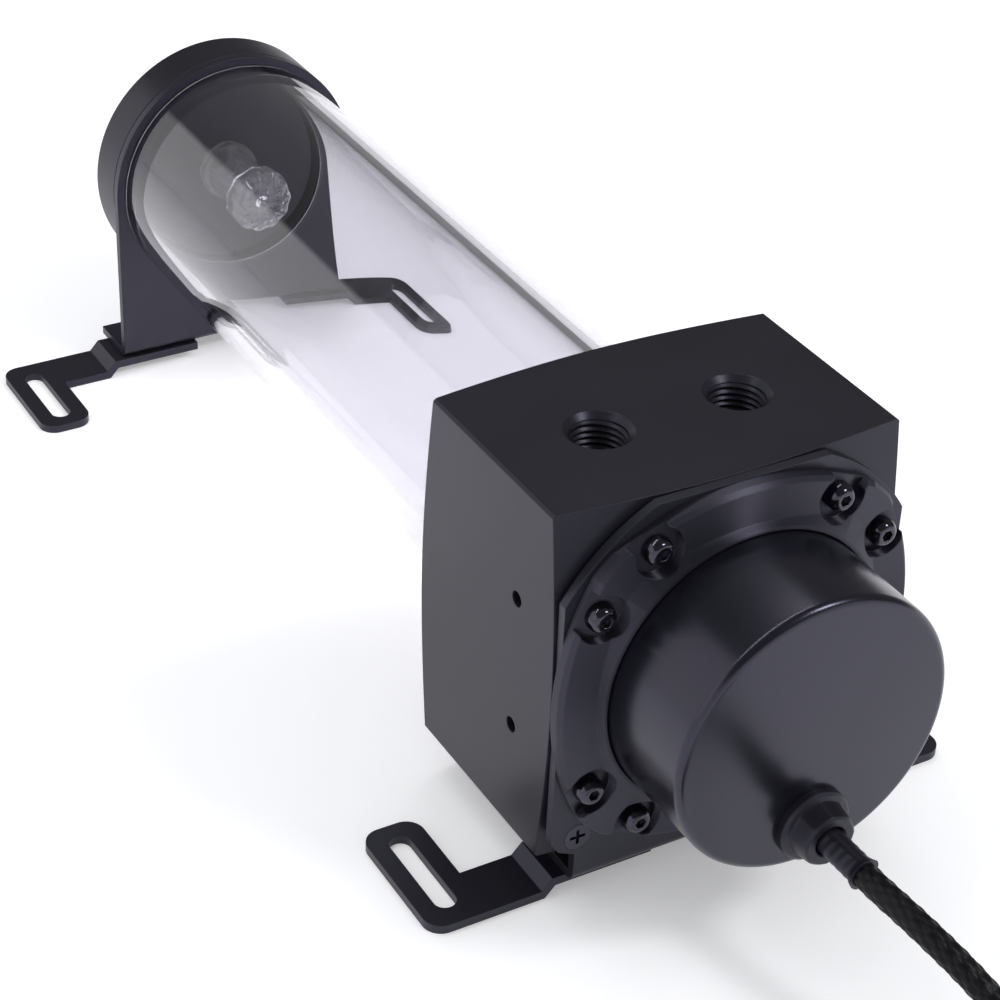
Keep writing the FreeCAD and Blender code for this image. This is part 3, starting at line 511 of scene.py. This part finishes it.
def ring_screw_places():
    """The centres of the eight screws, in two pairs on each side of the axis."""
    places = []
    for sx in (-1, 1):
        for sz in (-1, 1):
            places.append((sx * SCREW_NEAR, AXIS_Z + sz * SCREW_FAR))
            places.append((sx * SCREW_FAR, AXIS_Z + sz * SCREW_NEAR))
    return places


# Stage

def camera_place(azimuth, elevation, roll, distance, target):
    """The camera's matrix, looking at a point from a distance."""
    a = math.radians(azimuth)
    e = math.radians(elevation)
    r = math.radians(roll)
    back = Vector((math.sin(a) * math.cos(e), -math.cos(a) * math.cos(e), math.sin(e)))
    level = Vector((0, 0, 1)).cross(back).normalized()
    upward = back.cross(level)
    right = math.cos(r) * level + math.sin(r) * upward
    up = math.cos(r) * upward - math.sin(r) * level
    turn = Matrix((right, up, back)).transposed().to_4x4()
    return Matrix.Translation(Vector(target) + back * distance) @ turn


def add_camera(lens):
    camera = bpy.data.cameras.new("photo_camera")
    camera.lens = lens
    camera.sensor_width = SENSOR_WIDTH
    camera.clip_start = 0.01
    holder = bpy.data.objects.new("photo_camera", camera)
    bpy.context.scene.collection.objects.link(holder)
    holder.matrix_world = camera_place(CAMERA_AZIMUTH, CAMERA_ELEVATION, CAMERA_ROLL,
                                       CAMERA_DISTANCE, CAMERA_TARGET)
    bpy.context.scene.camera = holder


def add_lamp(name, place, target, size, power):
    lamp = bpy.data.lights.new(name, "AREA")
    lamp.shape = "RECTANGLE"
    lamp.size = size[0]
    lamp.size_y = size[1]
    lamp.energy = power
    holder = bpy.data.objects.new(name, lamp)
    bpy.context.scene.collection.objects.link(holder)
    turn = (Vector(target) - Vector(place)).to_track_quat("-Z", "Y").to_matrix().to_4x4()
    holder.matrix_world = Matrix.Translation(Vector(place)) @ turn


def math_node(tree, operation, first, second):
    made = tree.nodes.new("ShaderNodeMath")
    made.operation = operation
    for socket, value in zip(made.inputs, (first, second)):
        if isinstance(value, float):
            socket.default_value = value
        else:
            tree.links.new(value, socket)
    return made.outputs[0]


def kinds_of_ray(tree):
    return tree.nodes.new("ShaderNodeLightPath").outputs


def background_rays(tree, rays):
    """The rays that show the background: to the camera, in a gloss or through glass."""
    shown = math_node(tree, "MAXIMUM", rays["Is Camera Ray"], rays["Is Glossy Ray"])
    return math_node(tree, "MAXIMUM", shown, rays["Is Transmission Ray"])


def dark_panels(tree):
    """One towards the dark panels above the object, and nought elsewhere."""
    way = tree.nodes.new("ShaderNodeTexCoord")
    dark = 0.0
    for direction, reach in PANELS:
        towards = tree.nodes.new("ShaderNodeVectorMath")
        towards.operation = "DOT_PRODUCT"
        towards.inputs[1].default_value = direction
        tree.links.new(way.outputs["Generated"], towards.inputs[0])
        edge = tree.nodes.new("ShaderNodeMapRange")
        edge.inputs["From Min"].default_value = reach - PANEL_EDGE_OUT
        edge.inputs["From Max"].default_value = reach + PANEL_EDGE_IN
        tree.links.new(towards.outputs["Value"], edge.inputs["Value"])
        dark = math_node(tree, "MAXIMUM", edge.outputs["Result"], dark)
    return dark


def add_room(strength):
    """White where the background shows, and an even, slightly cool light elsewhere."""
    world = bpy.data.worlds.new("white_room")
    bpy.context.scene.world = world
    world.use_nodes = True
    tree = world.node_tree
    light = tree.nodes["Background"]
    light.inputs["Color"].default_value = ROOM_COLOUR
    light.inputs["Strength"].default_value = strength
    backdrop = tree.nodes.new("ShaderNodeBackground")
    backdrop.inputs["Color"].default_value = WHITE
    rays = kinds_of_ray(tree)
    indirect = math_node(tree, "SUBTRACT", 1.0, rays["Is Camera Ray"])
    dimmed = math_node(tree, "MULTIPLY", dark_panels(tree), indirect)
    dimmed = math_node(tree, "MULTIPLY", dimmed, PANEL_DEPTH)
    tree.links.new(math_node(tree, "SUBTRACT", 1.0, dimmed), backdrop.inputs["Strength"])
    mix = tree.nodes.new("ShaderNodeMixShader")
    tree.links.new(background_rays(tree, rays), mix.inputs[0])
    tree.links.new(light.outputs[0], mix.inputs[1])
    tree.links.new(backdrop.outputs[0], mix.inputs[2])
    tree.links.new(mix.outputs[0], tree.nodes["World Output"].inputs["Surface"])


def add_floor():
    """A white floor that keeps the object's shadow."""
    material, shader = new_material("white_floor", FLOOR_COLOUR, roughness=0.9,
                                    Specular_IOR_Level=0.0)
    tree = material.node_tree
    glow = tree.nodes.new("ShaderNodeEmission")
    glow.inputs["Color"].default_value = WHITE
    shown = background_rays(tree, kinds_of_ray(tree))
    tree.links.new(math_node(tree, "MULTIPLY", shown, FLOOR_GLOW), glow.inputs["Strength"])
    both = tree.nodes.new("ShaderNodeAddShader")
    tree.links.new(shader.outputs[0], both.inputs[0])
    tree.links.new(glow.outputs[0], both.inputs[1])
    tree.links.new(both.outputs[0], tree.nodes["Material Output"].inputs["Surface"])
    mesh = bpy.data.meshes.new("floor")
    corners = [(x * FLOOR_HALF, y * FLOOR_HALF, 0)
               for x, y in ((-1, -1), (1, -1), (1, 1), (-1, 1))]
    mesh.from_pydata(corners, [], [(0, 1, 2, 3)])
    mesh.materials.append(material)
    floor = bpy.data.objects.new("floor", mesh)
    bpy.context.scene.collection.objects.link(floor)


class RESERVOIR_OT_stage(bpy.types.Operator):
    """Sets the camera at the photograph's place, with a white floor and soft light"""
    bl_idname = "reservoir.stage"
    bl_label = "Stage"

    def execute(self, context):
        stage = context.scene.reservoir_stage
        context.scene.view_settings.view_transform = "Standard"
        add_camera(stage.lens)
        add_lamp("key", KEY_PLACE, OBJECT_MIDDLE, KEY_SIZE, stage.key_power)
        add_lamp("rim", RIM_PLACE, PUMP_TOP, RIM_SIZE, stage.rim_power)
        add_lamp("fill", FILL_PLACE, OBJECT_MIDDLE, FILL_SIZE, stage.fill_power)
        add_room(stage.room_light)
        add_floor()
        return {"FINISHED"}


# Cable

def coil_points():
    """The put-away cable: a full turn on the floor, then half a turn on top of it."""
    points = []
    radius = COIL_RADIUS * COIL_POINTS_OUT
    for k in range(int(COIL_POINTS_PER_TURN * COIL_TURNS) + 1):
        turn = k / COIL_POINTS_PER_TURN
        a = math.radians(COIL_START_DEGREES - 360 * turn)
        t = min(1.0, max(0.0, (turn - CLIMB_FROM) / (CLIMB_TO - CLIMB_FROM)))
        climb = t * t * (3 - 2 * t)
        height = FLOOR_HEIGHT + (SECOND_LAYER - FLOOR_HEIGHT) * climb
        points.append((COIL_CENTRE[0] + radius * math.cos(a),
                       COIL_CENTRE[1] + radius * math.sin(a), height))
    return points


def spline_line(points):
    """The smooth line of a NURBS spline with these control points."""
    curve = bpy.data.curves.new("cable_line", "CURVE")
    curve.dimensions = "3D"
    curve.resolution_u = 24
    spline = curve.splines.new("NURBS")
    spline.points.add(len(points) - 1)
    for point, place in zip(spline.points, points):
        point.co = (*place, 1.0)
    spline.order_u = 3
    spline.use_endpoint_u = True
    holder = bpy.data.objects.new("cable_line", curve)
    mesh = bpy.data.meshes.new_from_object(holder)
    line = [v.co.copy() for v in mesh.vertices]
    bpy.data.objects.remove(holder)
    bpy.data.meshes.remove(mesh)
    return line


def even_line(line, step):
    """The same line, with points at even distances."""
    spaced = [line[0].copy()]
    left = step
    for a, b in zip(line, line[1:]):
        length = (b - a).length
        done = 0.0
        while length - done > left:
            done += left
            spaced.append(a.lerp(b, done / length))
            left = step
        left -= length - done
    spaced.append(line[-1].copy())
    return spaced


def line_length(line):
    return sum((b - a).length for a, b in zip(line, line[1:]))


def sides_along(line):
    """At each point of a line, two directions across it that don't twist."""
    sides = []
    side = Vector((1, 0, 0))
    for k in range(len(line)):
        way = (line[min(k + 1, len(line) - 1)] - line[max(k - 1, 0)]).normalized()
        side = (side - way * side.dot(way)).normalized()
        sides.append((side.copy(), way.cross(side)))
    return sides


def braid_height(around, along, strands, length):
    """How high the upper strand stands, from 0 in a gap to 1 on its back, over and under."""
    p = strands * around + along / length
    q = strands * around - along / length
    across_p = math.sin(math.pi * (p % 1.0))
    across_q = math.sin(math.pi * (q % 1.0))
    over = (math.floor(p) + math.floor(q)) % 2 == 0
    top, under = (across_p, across_q) if over else (across_q, across_p)
    back = max(0.0, top) ** STRAND_CROWN
    return back * (1 - CROSSING_DIP + CROSSING_DIP * under)


def distances_along(line):
    """How far along the line each of its points is."""
    distances = [0.0]
    for a, b in zip(line, line[1:]):
        distances.append(distances[-1] + (b - a).length)
    return distances


def tube_mesh(line, radius_at, around):
    """Points and faces of a tube that follows a line."""
    points = []
    for place, (side, up), distance in zip(line, sides_along(line), distances_along(line)):
        for k in range(around):
            a = 2 * math.pi * k / around
            radius = radius_at(k / around, distance)
            points.append(tuple(place + radius * (math.cos(a) * side + math.sin(a) * up)))
    faces = []
    for row in range(len(line) - 1):
        for k in range(around):
            n = (k + 1) % around
            a = row * around
            b = a + around
            faces.append((a + k, a + n, b + n, b + k))
    faces.append(tuple(reversed(range(around))))
    faces.append(tuple(range(len(points) - around, len(points))))
    return points, faces


def add_braided_cable(line, material, strands, length):
    """The cable as a mesh of its strands, with their height as an attribute for its colour, which
    paints shade into the gaps between them.
    """
    def radius_at(around, along):
        height = braid_height(around, along, strands, length)
        return CABLE_RADIUS + BRAID_PROUD - BRAID_RELIEF * (1 - height)

    around = strands * POINTS_PER_STRAND
    points, faces = tube_mesh(line, radius_at, around)
    cable = add_mesh("braided_cable", points, faces, material, "reservoir", "braided_sleeve",
                     sharp=80)
    # The strand height, read by the material as painted shade: low in the gaps, high on the
    # strands' backs.
    strand = cable.data.color_attributes.new("strand", "FLOAT_COLOR", "POINT")
    for row, distance in enumerate(distances_along(line)):
        for k in range(around):
            tone = braid_height(k / around, distance, strands, length)
            strand.data[row * around + k].color = (tone, tone, tone, 1.0)
    return cable


def add_heat_shrink(line, material):
    """The shrunk sleeve over the cable's first stretch, wrinkled, with a cuff at its end."""
    reach = line_length(line)
    wrinkle_pitch = 1.9 * MM
    wrinkle_slant = 1.5
    wrinkle_depth = 0.05 * MM
    ridges = 5
    ridge_turn = 3
    ridge_height = 0.06 * MM
    cuff_length = 1.4 * MM
    cuff_height = 0.6 * MM

    def radius_at(around, along):
        wrinkle = math.sin(2 * math.pi * (along / wrinkle_pitch + wrinkle_slant * around))
        ridge = math.cos(2 * math.pi * ridges * around + ridge_turn)
        cuff = max(0.0, 1 - (reach - along) / cuff_length)
        return (CABLE_RADIUS + SLEEVE_THICK + wrinkle_depth * wrinkle + ridge_height * ridge
                + cuff_height * cuff)

    points, faces = tube_mesh(line, radius_at, around=40)
    return add_mesh("heat_shrink", points, faces, material, "reservoir", "black_nylon",
                    sharp=60)


def add_contacts(material):
    """The four brass tubes in the connector's openings."""
    low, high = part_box("power_connector")
    centre_x = (low.x + high.x) / 2
    centre_z = (low.z + high.z) / 2
    back = high.y - CONTACT_BACK
    mouth = high.y - CONTACT_RECESS
    profile = [(CONTACT_RADIUS, back), (CONTACT_RADIUS, mouth), (CONTACT_BORE, mouth),
               (CONTACT_BORE, back)]
    parts = []
    for k in range(CONTACTS):
        x = centre_x + (k - (CONTACTS - 1) / 2) * CONTACT_PITCH
        parts.append(turned(profile, (x, centre_z), segments=20, closed=True))
    points, faces = merged(parts)
    return add_mesh("connector_contacts", points, faces, material, "reservoir", "copper")


class RESERVOIR_OT_cable(bpy.types.Operator):
    """Lays the braided cable from the gland to its connector, with its shrink sleeve"""
    bl_idname = "reservoir.cable"
    bl_label = "Cable"

    def execute(self, context):
        detail = context.scene.reservoir_detail
        route = CABLE_START + coil_points() + CABLE_TAIL
        line = even_line(spline_line(route), CABLE_STEP)
        cable = add_braided_cable(line, braided_sleeve(), detail.braid_strands,
                                  detail.braid_length)
        sleeve_line = line[:int(SLEEVE_LENGTH / CABLE_STEP) + 1]
        shrink = add_heat_shrink(sleeve_line, moulded_nylon())
        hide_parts("heat_shrink_sleeve")
        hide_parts("pump_cable", "cable_coil", "cable_tail")
        dress(moulded_nylon(), "power_connector")
        brass = plain("contact_brass", (0.6, 0.42, 0.16), roughness=0.3, Metallic=1.0)
        contacts = add_contacts(brass)
        return {"FINISHED"}


# Tube and its ends

class RESERVOIR_OT_tube(bpy.types.Operator):
    """Makes the clear tube with its turned ends, and finishes the seals"""
    bl_idname = "reservoir.tube"
    bl_label = "Clear tube"

    def execute(self, context):
        bore = TUBE_RADIUS - TUBE_WALL
        front = block_high.y
        edge = TUBE_EDGE
        profile = [(bore + edge, tube_low.y), (NECK_RADIUS - edge, tube_low.y),
                   (NECK_RADIUS, tube_low.y + edge), (NECK_RADIUS, front),
                   (TUBE_RADIUS - edge, front), (TUBE_RADIUS, front + edge),
                   (TUBE_RADIUS, PLATE_Y - edge), (TUBE_RADIUS - edge, PLATE_Y),
                   (NECK_RADIUS, PLATE_Y), (NECK_RADIUS, tube_high.y - edge),
                   (NECK_RADIUS - edge, tube_high.y), (bore + edge, tube_high.y),
                   (bore, tube_high.y - edge), (bore, tube_low.y + edge)]
        points, faces = turned(profile, (0, AXIS_Z), segments=256, closed=True)
        tube = add_mesh("clear_tube", points, faces, clear_acrylic("clear_acrylic"),
                        "reservoir", "clear_acrylic")
        tube.visible_shadow = False
        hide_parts("reservoir_tube")
        dress(seal_rubber(), "front_tube_seal", "rear_tube_seal", "pump_seal")
        return {"FINISHED"}


class RESERVOIR_OT_end_cap(bpy.types.Operator):
    """Finishes the end cap, its port plug and its seal, and cuts the cap's inner thread"""
    bl_idname = "reservoir.end_cap"
    bl_label = "End cap"

    def execute(self, context):
        pitch = context.scene.reservoir_detail.cap_thread_pitch
        acetal = machined_acetal()
        dress(acetal, "end_cap")
        ridge = thread(NECK_RADIUS + CAP_THREAD_SINK, NECK_RADIUS - CAP_THREAD_HEIGHT, pitch,
                       CAP_Y + pitch, CAP_Y + CAP_THREAD_END, (0, AXIS_Z), upright=False,
                       segments=128)
        add_mesh("cap_thread", *ridge, acetal, "reservoir", "black_acetal")
        dress(black_oxide(), "rear_port_plug")
        dress(seal_rubber(), "plug_seal")
        return {"FINISHED"}


class RESERVOIR_OT_diffuser(bpy.types.Operator):
    """Makes the clear spout inside the tube and its fluted rose"""
    bl_idname = "reservoir.diffuser"
    bl_label = "Diffuser"

    def execute(self, context):
        clear = clear_acrylic("clear_moulding", roughness=0.02, through=0.97)
        self.add_spout(clear)
        self.add_rose(clear)
        return {"FINISHED"}

    def add_spout(self, clear):
        seat = stub_high.y - STUB_SPIGOT
        chamfer = 0.4 * MM
        profile = [(STUB_BORE, stub_low.y), (STUB_RADIUS - chamfer, stub_low.y),
                   (STUB_RADIUS, stub_low.y + chamfer),
                   (STUB_RADIUS, seat - STUB_COLLAR - chamfer),
                   (STUB_COLLAR_RADIUS, seat - STUB_COLLAR), (STUB_COLLAR_RADIUS, seat),
                   (STUB_SPIGOT_RADIUS, seat), (STUB_SPIGOT_RADIUS, stub_high.y),
                   (STUB_BORE, stub_high.y)]
        points, faces = turned(profile, (0, AXIS_Z), segments=64, closed=True)
        stub = add_mesh("diffuser_spout", points, faces, clear, "reservoir", "clear_acrylic")
        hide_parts("diffuser_stub")
        stub.visible_shadow = False

    def add_rose(self, clear):
        """The outline's stretches hold a radius and a distance behind the rose's front, in mm."""
        length = (head_high.y - head_low.y) / MM
        button = [(0.5, 0.1), (1.2, 0.0), (1.5, 0.3)]
        hollow = [(1.7, 1.1), (2.6, 1.2)]
        tip = [(5.0, 0.5), (6.2, 0.0)]
        rim = [(7.9, 1.3), (8.1, 2.0), (8.1, length - 0.6)]
        back = [(7.4, length), (3.7, length), (3.6, length - 1.4), (0.5, length - 1.8)]
        tip_rows = range(len(button + hollow), len(button + hollow + tip))
        rim_rows = range(tip_rows.stop, tip_rows.stop + len(rim))

        def fluted(row, radius, a):
            wave = math.sin(ROSE_FLUTES * a / 2) ** 2
            if row in tip_rows:
                return radius * (1 - TIP_FLUTE_DEPTH * wave)
            if row in rim_rows:
                return radius * (1 - RIM_FLUTE_DEPTH * wave)
            return radius

        profile = [(radius * MM, head_low.y + behind * MM)
                   for radius, behind in button + hollow + tip + rim + back]
        points, faces = turned(profile, (0, AXIS_Z), segments=144, closed=True, shape=fluted)
        rose = add_mesh("diffuser_rose", points, faces, clear, "reservoir", "clear_acrylic",
                        sharp=25)
        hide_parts("diffuser_head")
        rose.visible_shadow = False


# Pump

class RESERVOIR_OT_block(bpy.types.Operator):
    """Finishes the machined block and cuts its ports' threads"""
    bl_idname = "reservoir.block"
    bl_label = "Pump block"

    def execute(self, context):
        pitch = context.scene.reservoir_detail.thread_pitch
        acetal = machined_acetal()
        dress(acetal, "pump_block")
        start = block_high.z - PORT_DEPTH + pitch
        end = block_high.z - PORT_MOUTH
        for side, x in (("outlet", -PORT_X), ("inlet", PORT_X)):
            ridge = thread(PORT_RADIUS + PORT_THREAD_SINK, PORT_RADIUS - PORT_THREAD_HEIGHT,
                           pitch, start, end, (x, PORT_Y), upright=True, segments=48)
            add_mesh(side + "_thread", *ridge, acetal, "reservoir", "black_acetal")
        return {"FINISHED"}


class RESERVOIR_OT_can(bpy.types.Operator):
    """Makes the pump can with its rounded rim, and the cable gland on it"""
    bl_idname = "reservoir.can"
    bl_label = "Pump can and gland"

    def execute(self, context):
        self.add_can(anodised_aluminium())
        self.add_gland(moulded_nylon())
        return {"FINISHED"}

    def add_can(self, finish):
        flange = (can_high.x - can_low.x) / 2
        step = can_high.y - SHEET
        inner = CAN_RADIUS - CAN_WALL
        front = can_low.y
        profile = [(CAN_CENTRE_DISC, front)]
        profile += quarter_arc((CAN_RADIUS - CAN_RIM, front + CAN_RIM), CAN_RIM, steps=10)
        profile += [(CAN_RADIUS, step), (flange, step), (flange, can_high.y),
                    (inner, can_high.y), (inner, front + CAN_WALL),
                    (CAN_CENTRE_DISC, front + CAN_WALL)]
        points, faces = turned(profile, (0, AXIS_Z), segments=192)
        can = add_mesh("pump_can", points, faces, finish, "reservoir", "black_aluminium",
                       sharp=35)
        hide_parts("pump_housing")

    def add_gland(self, nylon):
        front = gland_low.y
        face = can_low.y
        root = face + GLAND_SHANK_DEPTH
        collar = (gland_high.x - gland_low.x) / 2
        step = face - GLAND_COLLAR
        floor = front + GLAND_MOUTH_DEPTH
        hole = 1 * MM
        edge = 0.4 * MM
        shank = [(GLAND_SHANK, root), (collar, face), (collar, step + 0.5 * MM),
                 (collar - 0.6 * MM, step)]
        nut = [(GLAND_RADIUS + 0.5 * MM, step - 0.2 * MM),
               (GLAND_RADIUS + 0.3 * MM, step - 0.7 * MM), (GLAND_RADIUS, front + 3 * edge),
               (GLAND_RADIUS - edge / 2, front + edge)]
        mouth = [(GLAND_RADIUS - 2 * edge, front), (GLAND_MOUTH + edge, front),
                 (GLAND_MOUTH, front + edge), (GLAND_MOUTH, floor), (hole, floor), (hole, root)]
        nut_rows = range(len(shank), len(shank + nut))

        def faceted(row, radius, a):
            if row in nut_rows:
                flat = radius * math.cos(math.pi / GLAND_FLATS) * polygon_reach(GLAND_FLATS, a)
                return radius + (flat - radius) * GLAND_FLATNESS
            return radius

        points, faces = turned(shank + nut + mouth, (GLAND_X, GLAND_Z), segments=96,
                               closed=True, shape=faceted)
        gland = add_mesh("gland_body", points, faces, nylon, "reservoir", "black_nylon",
                         sharp=25)
        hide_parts("cable_gland")


class RESERVOIR_OT_ring(bpy.types.Operator):
    """Finishes the clamp ring and makes its eight socket button screws"""
    bl_idname = "reservoir.ring"
    bl_label = "Clamp ring and screws"

    def execute(self, context):
        dress(turned_aluminium(), "clamp_ring")
        seat = RING_FRONT + POCKET_DEPTH
        top = seat - BUTTON_HEIGHT
        flat = BUTTON_HEX / 2
        edge = 0.1 * MM
        mouth = flat + 0.35 * MM
        half = BUTTON_RADIUS / 2
        socket = [(flat, top + BUTTON_HEX_DEPTH), (flat, top + edge)]
        dome = [(mouth, top)]
        steps = 8
        for k in range(steps + 1):
            a = math.pi / 2 * k / steps
            dome.append((half + half * math.sin(a), top + BUTTON_DOME * (1 - math.cos(a))))
        skirt = [(BUTTON_RADIUS, seat - 2 * edge), (BUTTON_RADIUS - edge, seat),
                 (SHANK_RADIUS, seat), (SHANK_RADIUS, seat + SHANK_LENGTH)]

        def hexed(row, radius, a):
            return radius * polygon_reach(6, a) if row < len(socket) else radius

        profile = socket + dome + skirt
        parts = [turned(profile, place, segments=48, shape=hexed)
                 for place in ring_screw_places()]
        screws = add_mesh("ring_screws", *merged(parts), black_oxide(), "reservoir",
                          "black_steel", sharp=35)
        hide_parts("clamp_ring_screws")
        return {"FINISHED"}


class RESERVOIR_OT_brackets(bpy.types.Operator):
    """Finishes the sheet brackets, their feet and screws"""
    bl_idname = "reservoir.brackets"
    bl_label = "Brackets and feet"

    def execute(self, context):
        dress(powder_coat(), "front_bracket", "rear_bracket", "front_left_foot",
              "front_right_foot", "rear_left_foot", "rear_right_foot")
        dress(black_oxide(), "foot_screws", "bracket_screws")
        return {"FINISHED"}


class RESERVOIR_OT_inner(bpy.types.Operator):
    """Finishes the pump's parts inside the can and the block"""
    bl_idname = "reservoir.inner"
    bl_label = "Parts inside the pump"

    def execute(self, context):
        steel = plain("bright_steel", (0.55, 0.55, 0.57), roughness=0.25, Metallic=1.0)
        dress(steel, "rotor_cup", "bearing_post")
        ceramic = plain("ceramic", (0.82, 0.81, 0.76), roughness=0.15)
        dress(ceramic, "bearing_ball", "rotor_bearing")
        magnet = plain("magnet", (0.08, 0.08, 0.09), roughness=0.4)
        dress(magnet, "rotor_magnet")
        core = plain("core_steel", (0.3, 0.3, 0.32), roughness=0.4, Metallic=0.9)
        dress(core, "stator_core")
        copper = plain("enamelled_copper", (0.6, 0.24, 0.1), roughness=0.35, Metallic=0.8)
        dress(copper, "stator_coils")
        board = plain("board", (0.02, 0.13, 0.05), roughness=0.4)
        dress(board, "control_board")
        dress(moulded_nylon(), "cable_clamp")
        white = plain("white_moulding", (0.6, 0.6, 0.57), roughness=0.4)
        dress(white, "impeller")
        return {"FINISHED"}


class RESERVOIR_PT_panel(bpy.types.Panel):
    """Lists the steps that dress the reservoir, and their settings"""
    bl_idname = "RESERVOIR_PT_panel"
    bl_label = "Coolant pump reservoir"
    bl_space_type = "VIEW_3D"
    bl_region_type = "UI"
    bl_category = "Reservoir"

    def draw(self, context):
        for step in STEPS:
            self.layout.operator("reservoir." + step)
        scene = context.scene
        for group in (scene.reservoir_stage, scene.reservoir_finish, scene.reservoir_detail):
            for name in group.bl_rna.properties.keys():
                if name not in ("name", "rna_type"):
                    self.layout.prop(group, name)


STEPS = ["stage", "cable", "tube", "end_cap", "diffuser", "block", "can", "ring", "brackets",
         "inner"]

CLASSES = [
    StageSettings,
    FinishSettings,
    DetailSettings,
    RESERVOIR_OT_stage,
    RESERVOIR_OT_cable,
    RESERVOIR_OT_tube,
    RESERVOIR_OT_end_cap,
    RESERVOIR_OT_diffuser,
    RESERVOIR_OT_block,
    RESERVOIR_OT_can,
    RESERVOIR_OT_ring,
    RESERVOIR_OT_brackets,
    RESERVOIR_OT_inner,
    RESERVOIR_PT_panel,
]


def register():
    for entry in CLASSES:
        bpy.utils.register_class(entry)
    scene = bpy.types.Scene
    scene.reservoir_stage = bpy.props.PointerProperty(type=StageSettings)
    scene.reservoir_finish = bpy.props.PointerProperty(type=FinishSettings)
    scene.reservoir_detail = bpy.props.PointerProperty(type=DetailSettings)


def unregister():
    for name in ("reservoir_stage", "reservoir_finish", "reservoir_detail"):
        delattr(bpy.types.Scene, name)
    for entry in reversed(CLASSES):
        bpy.utils.unregister_class(entry)


def main():
    register()
    for step in STEPS:
        getattr(bpy.ops.reservoir, step)()


if __name__ == "__main__":
    main()
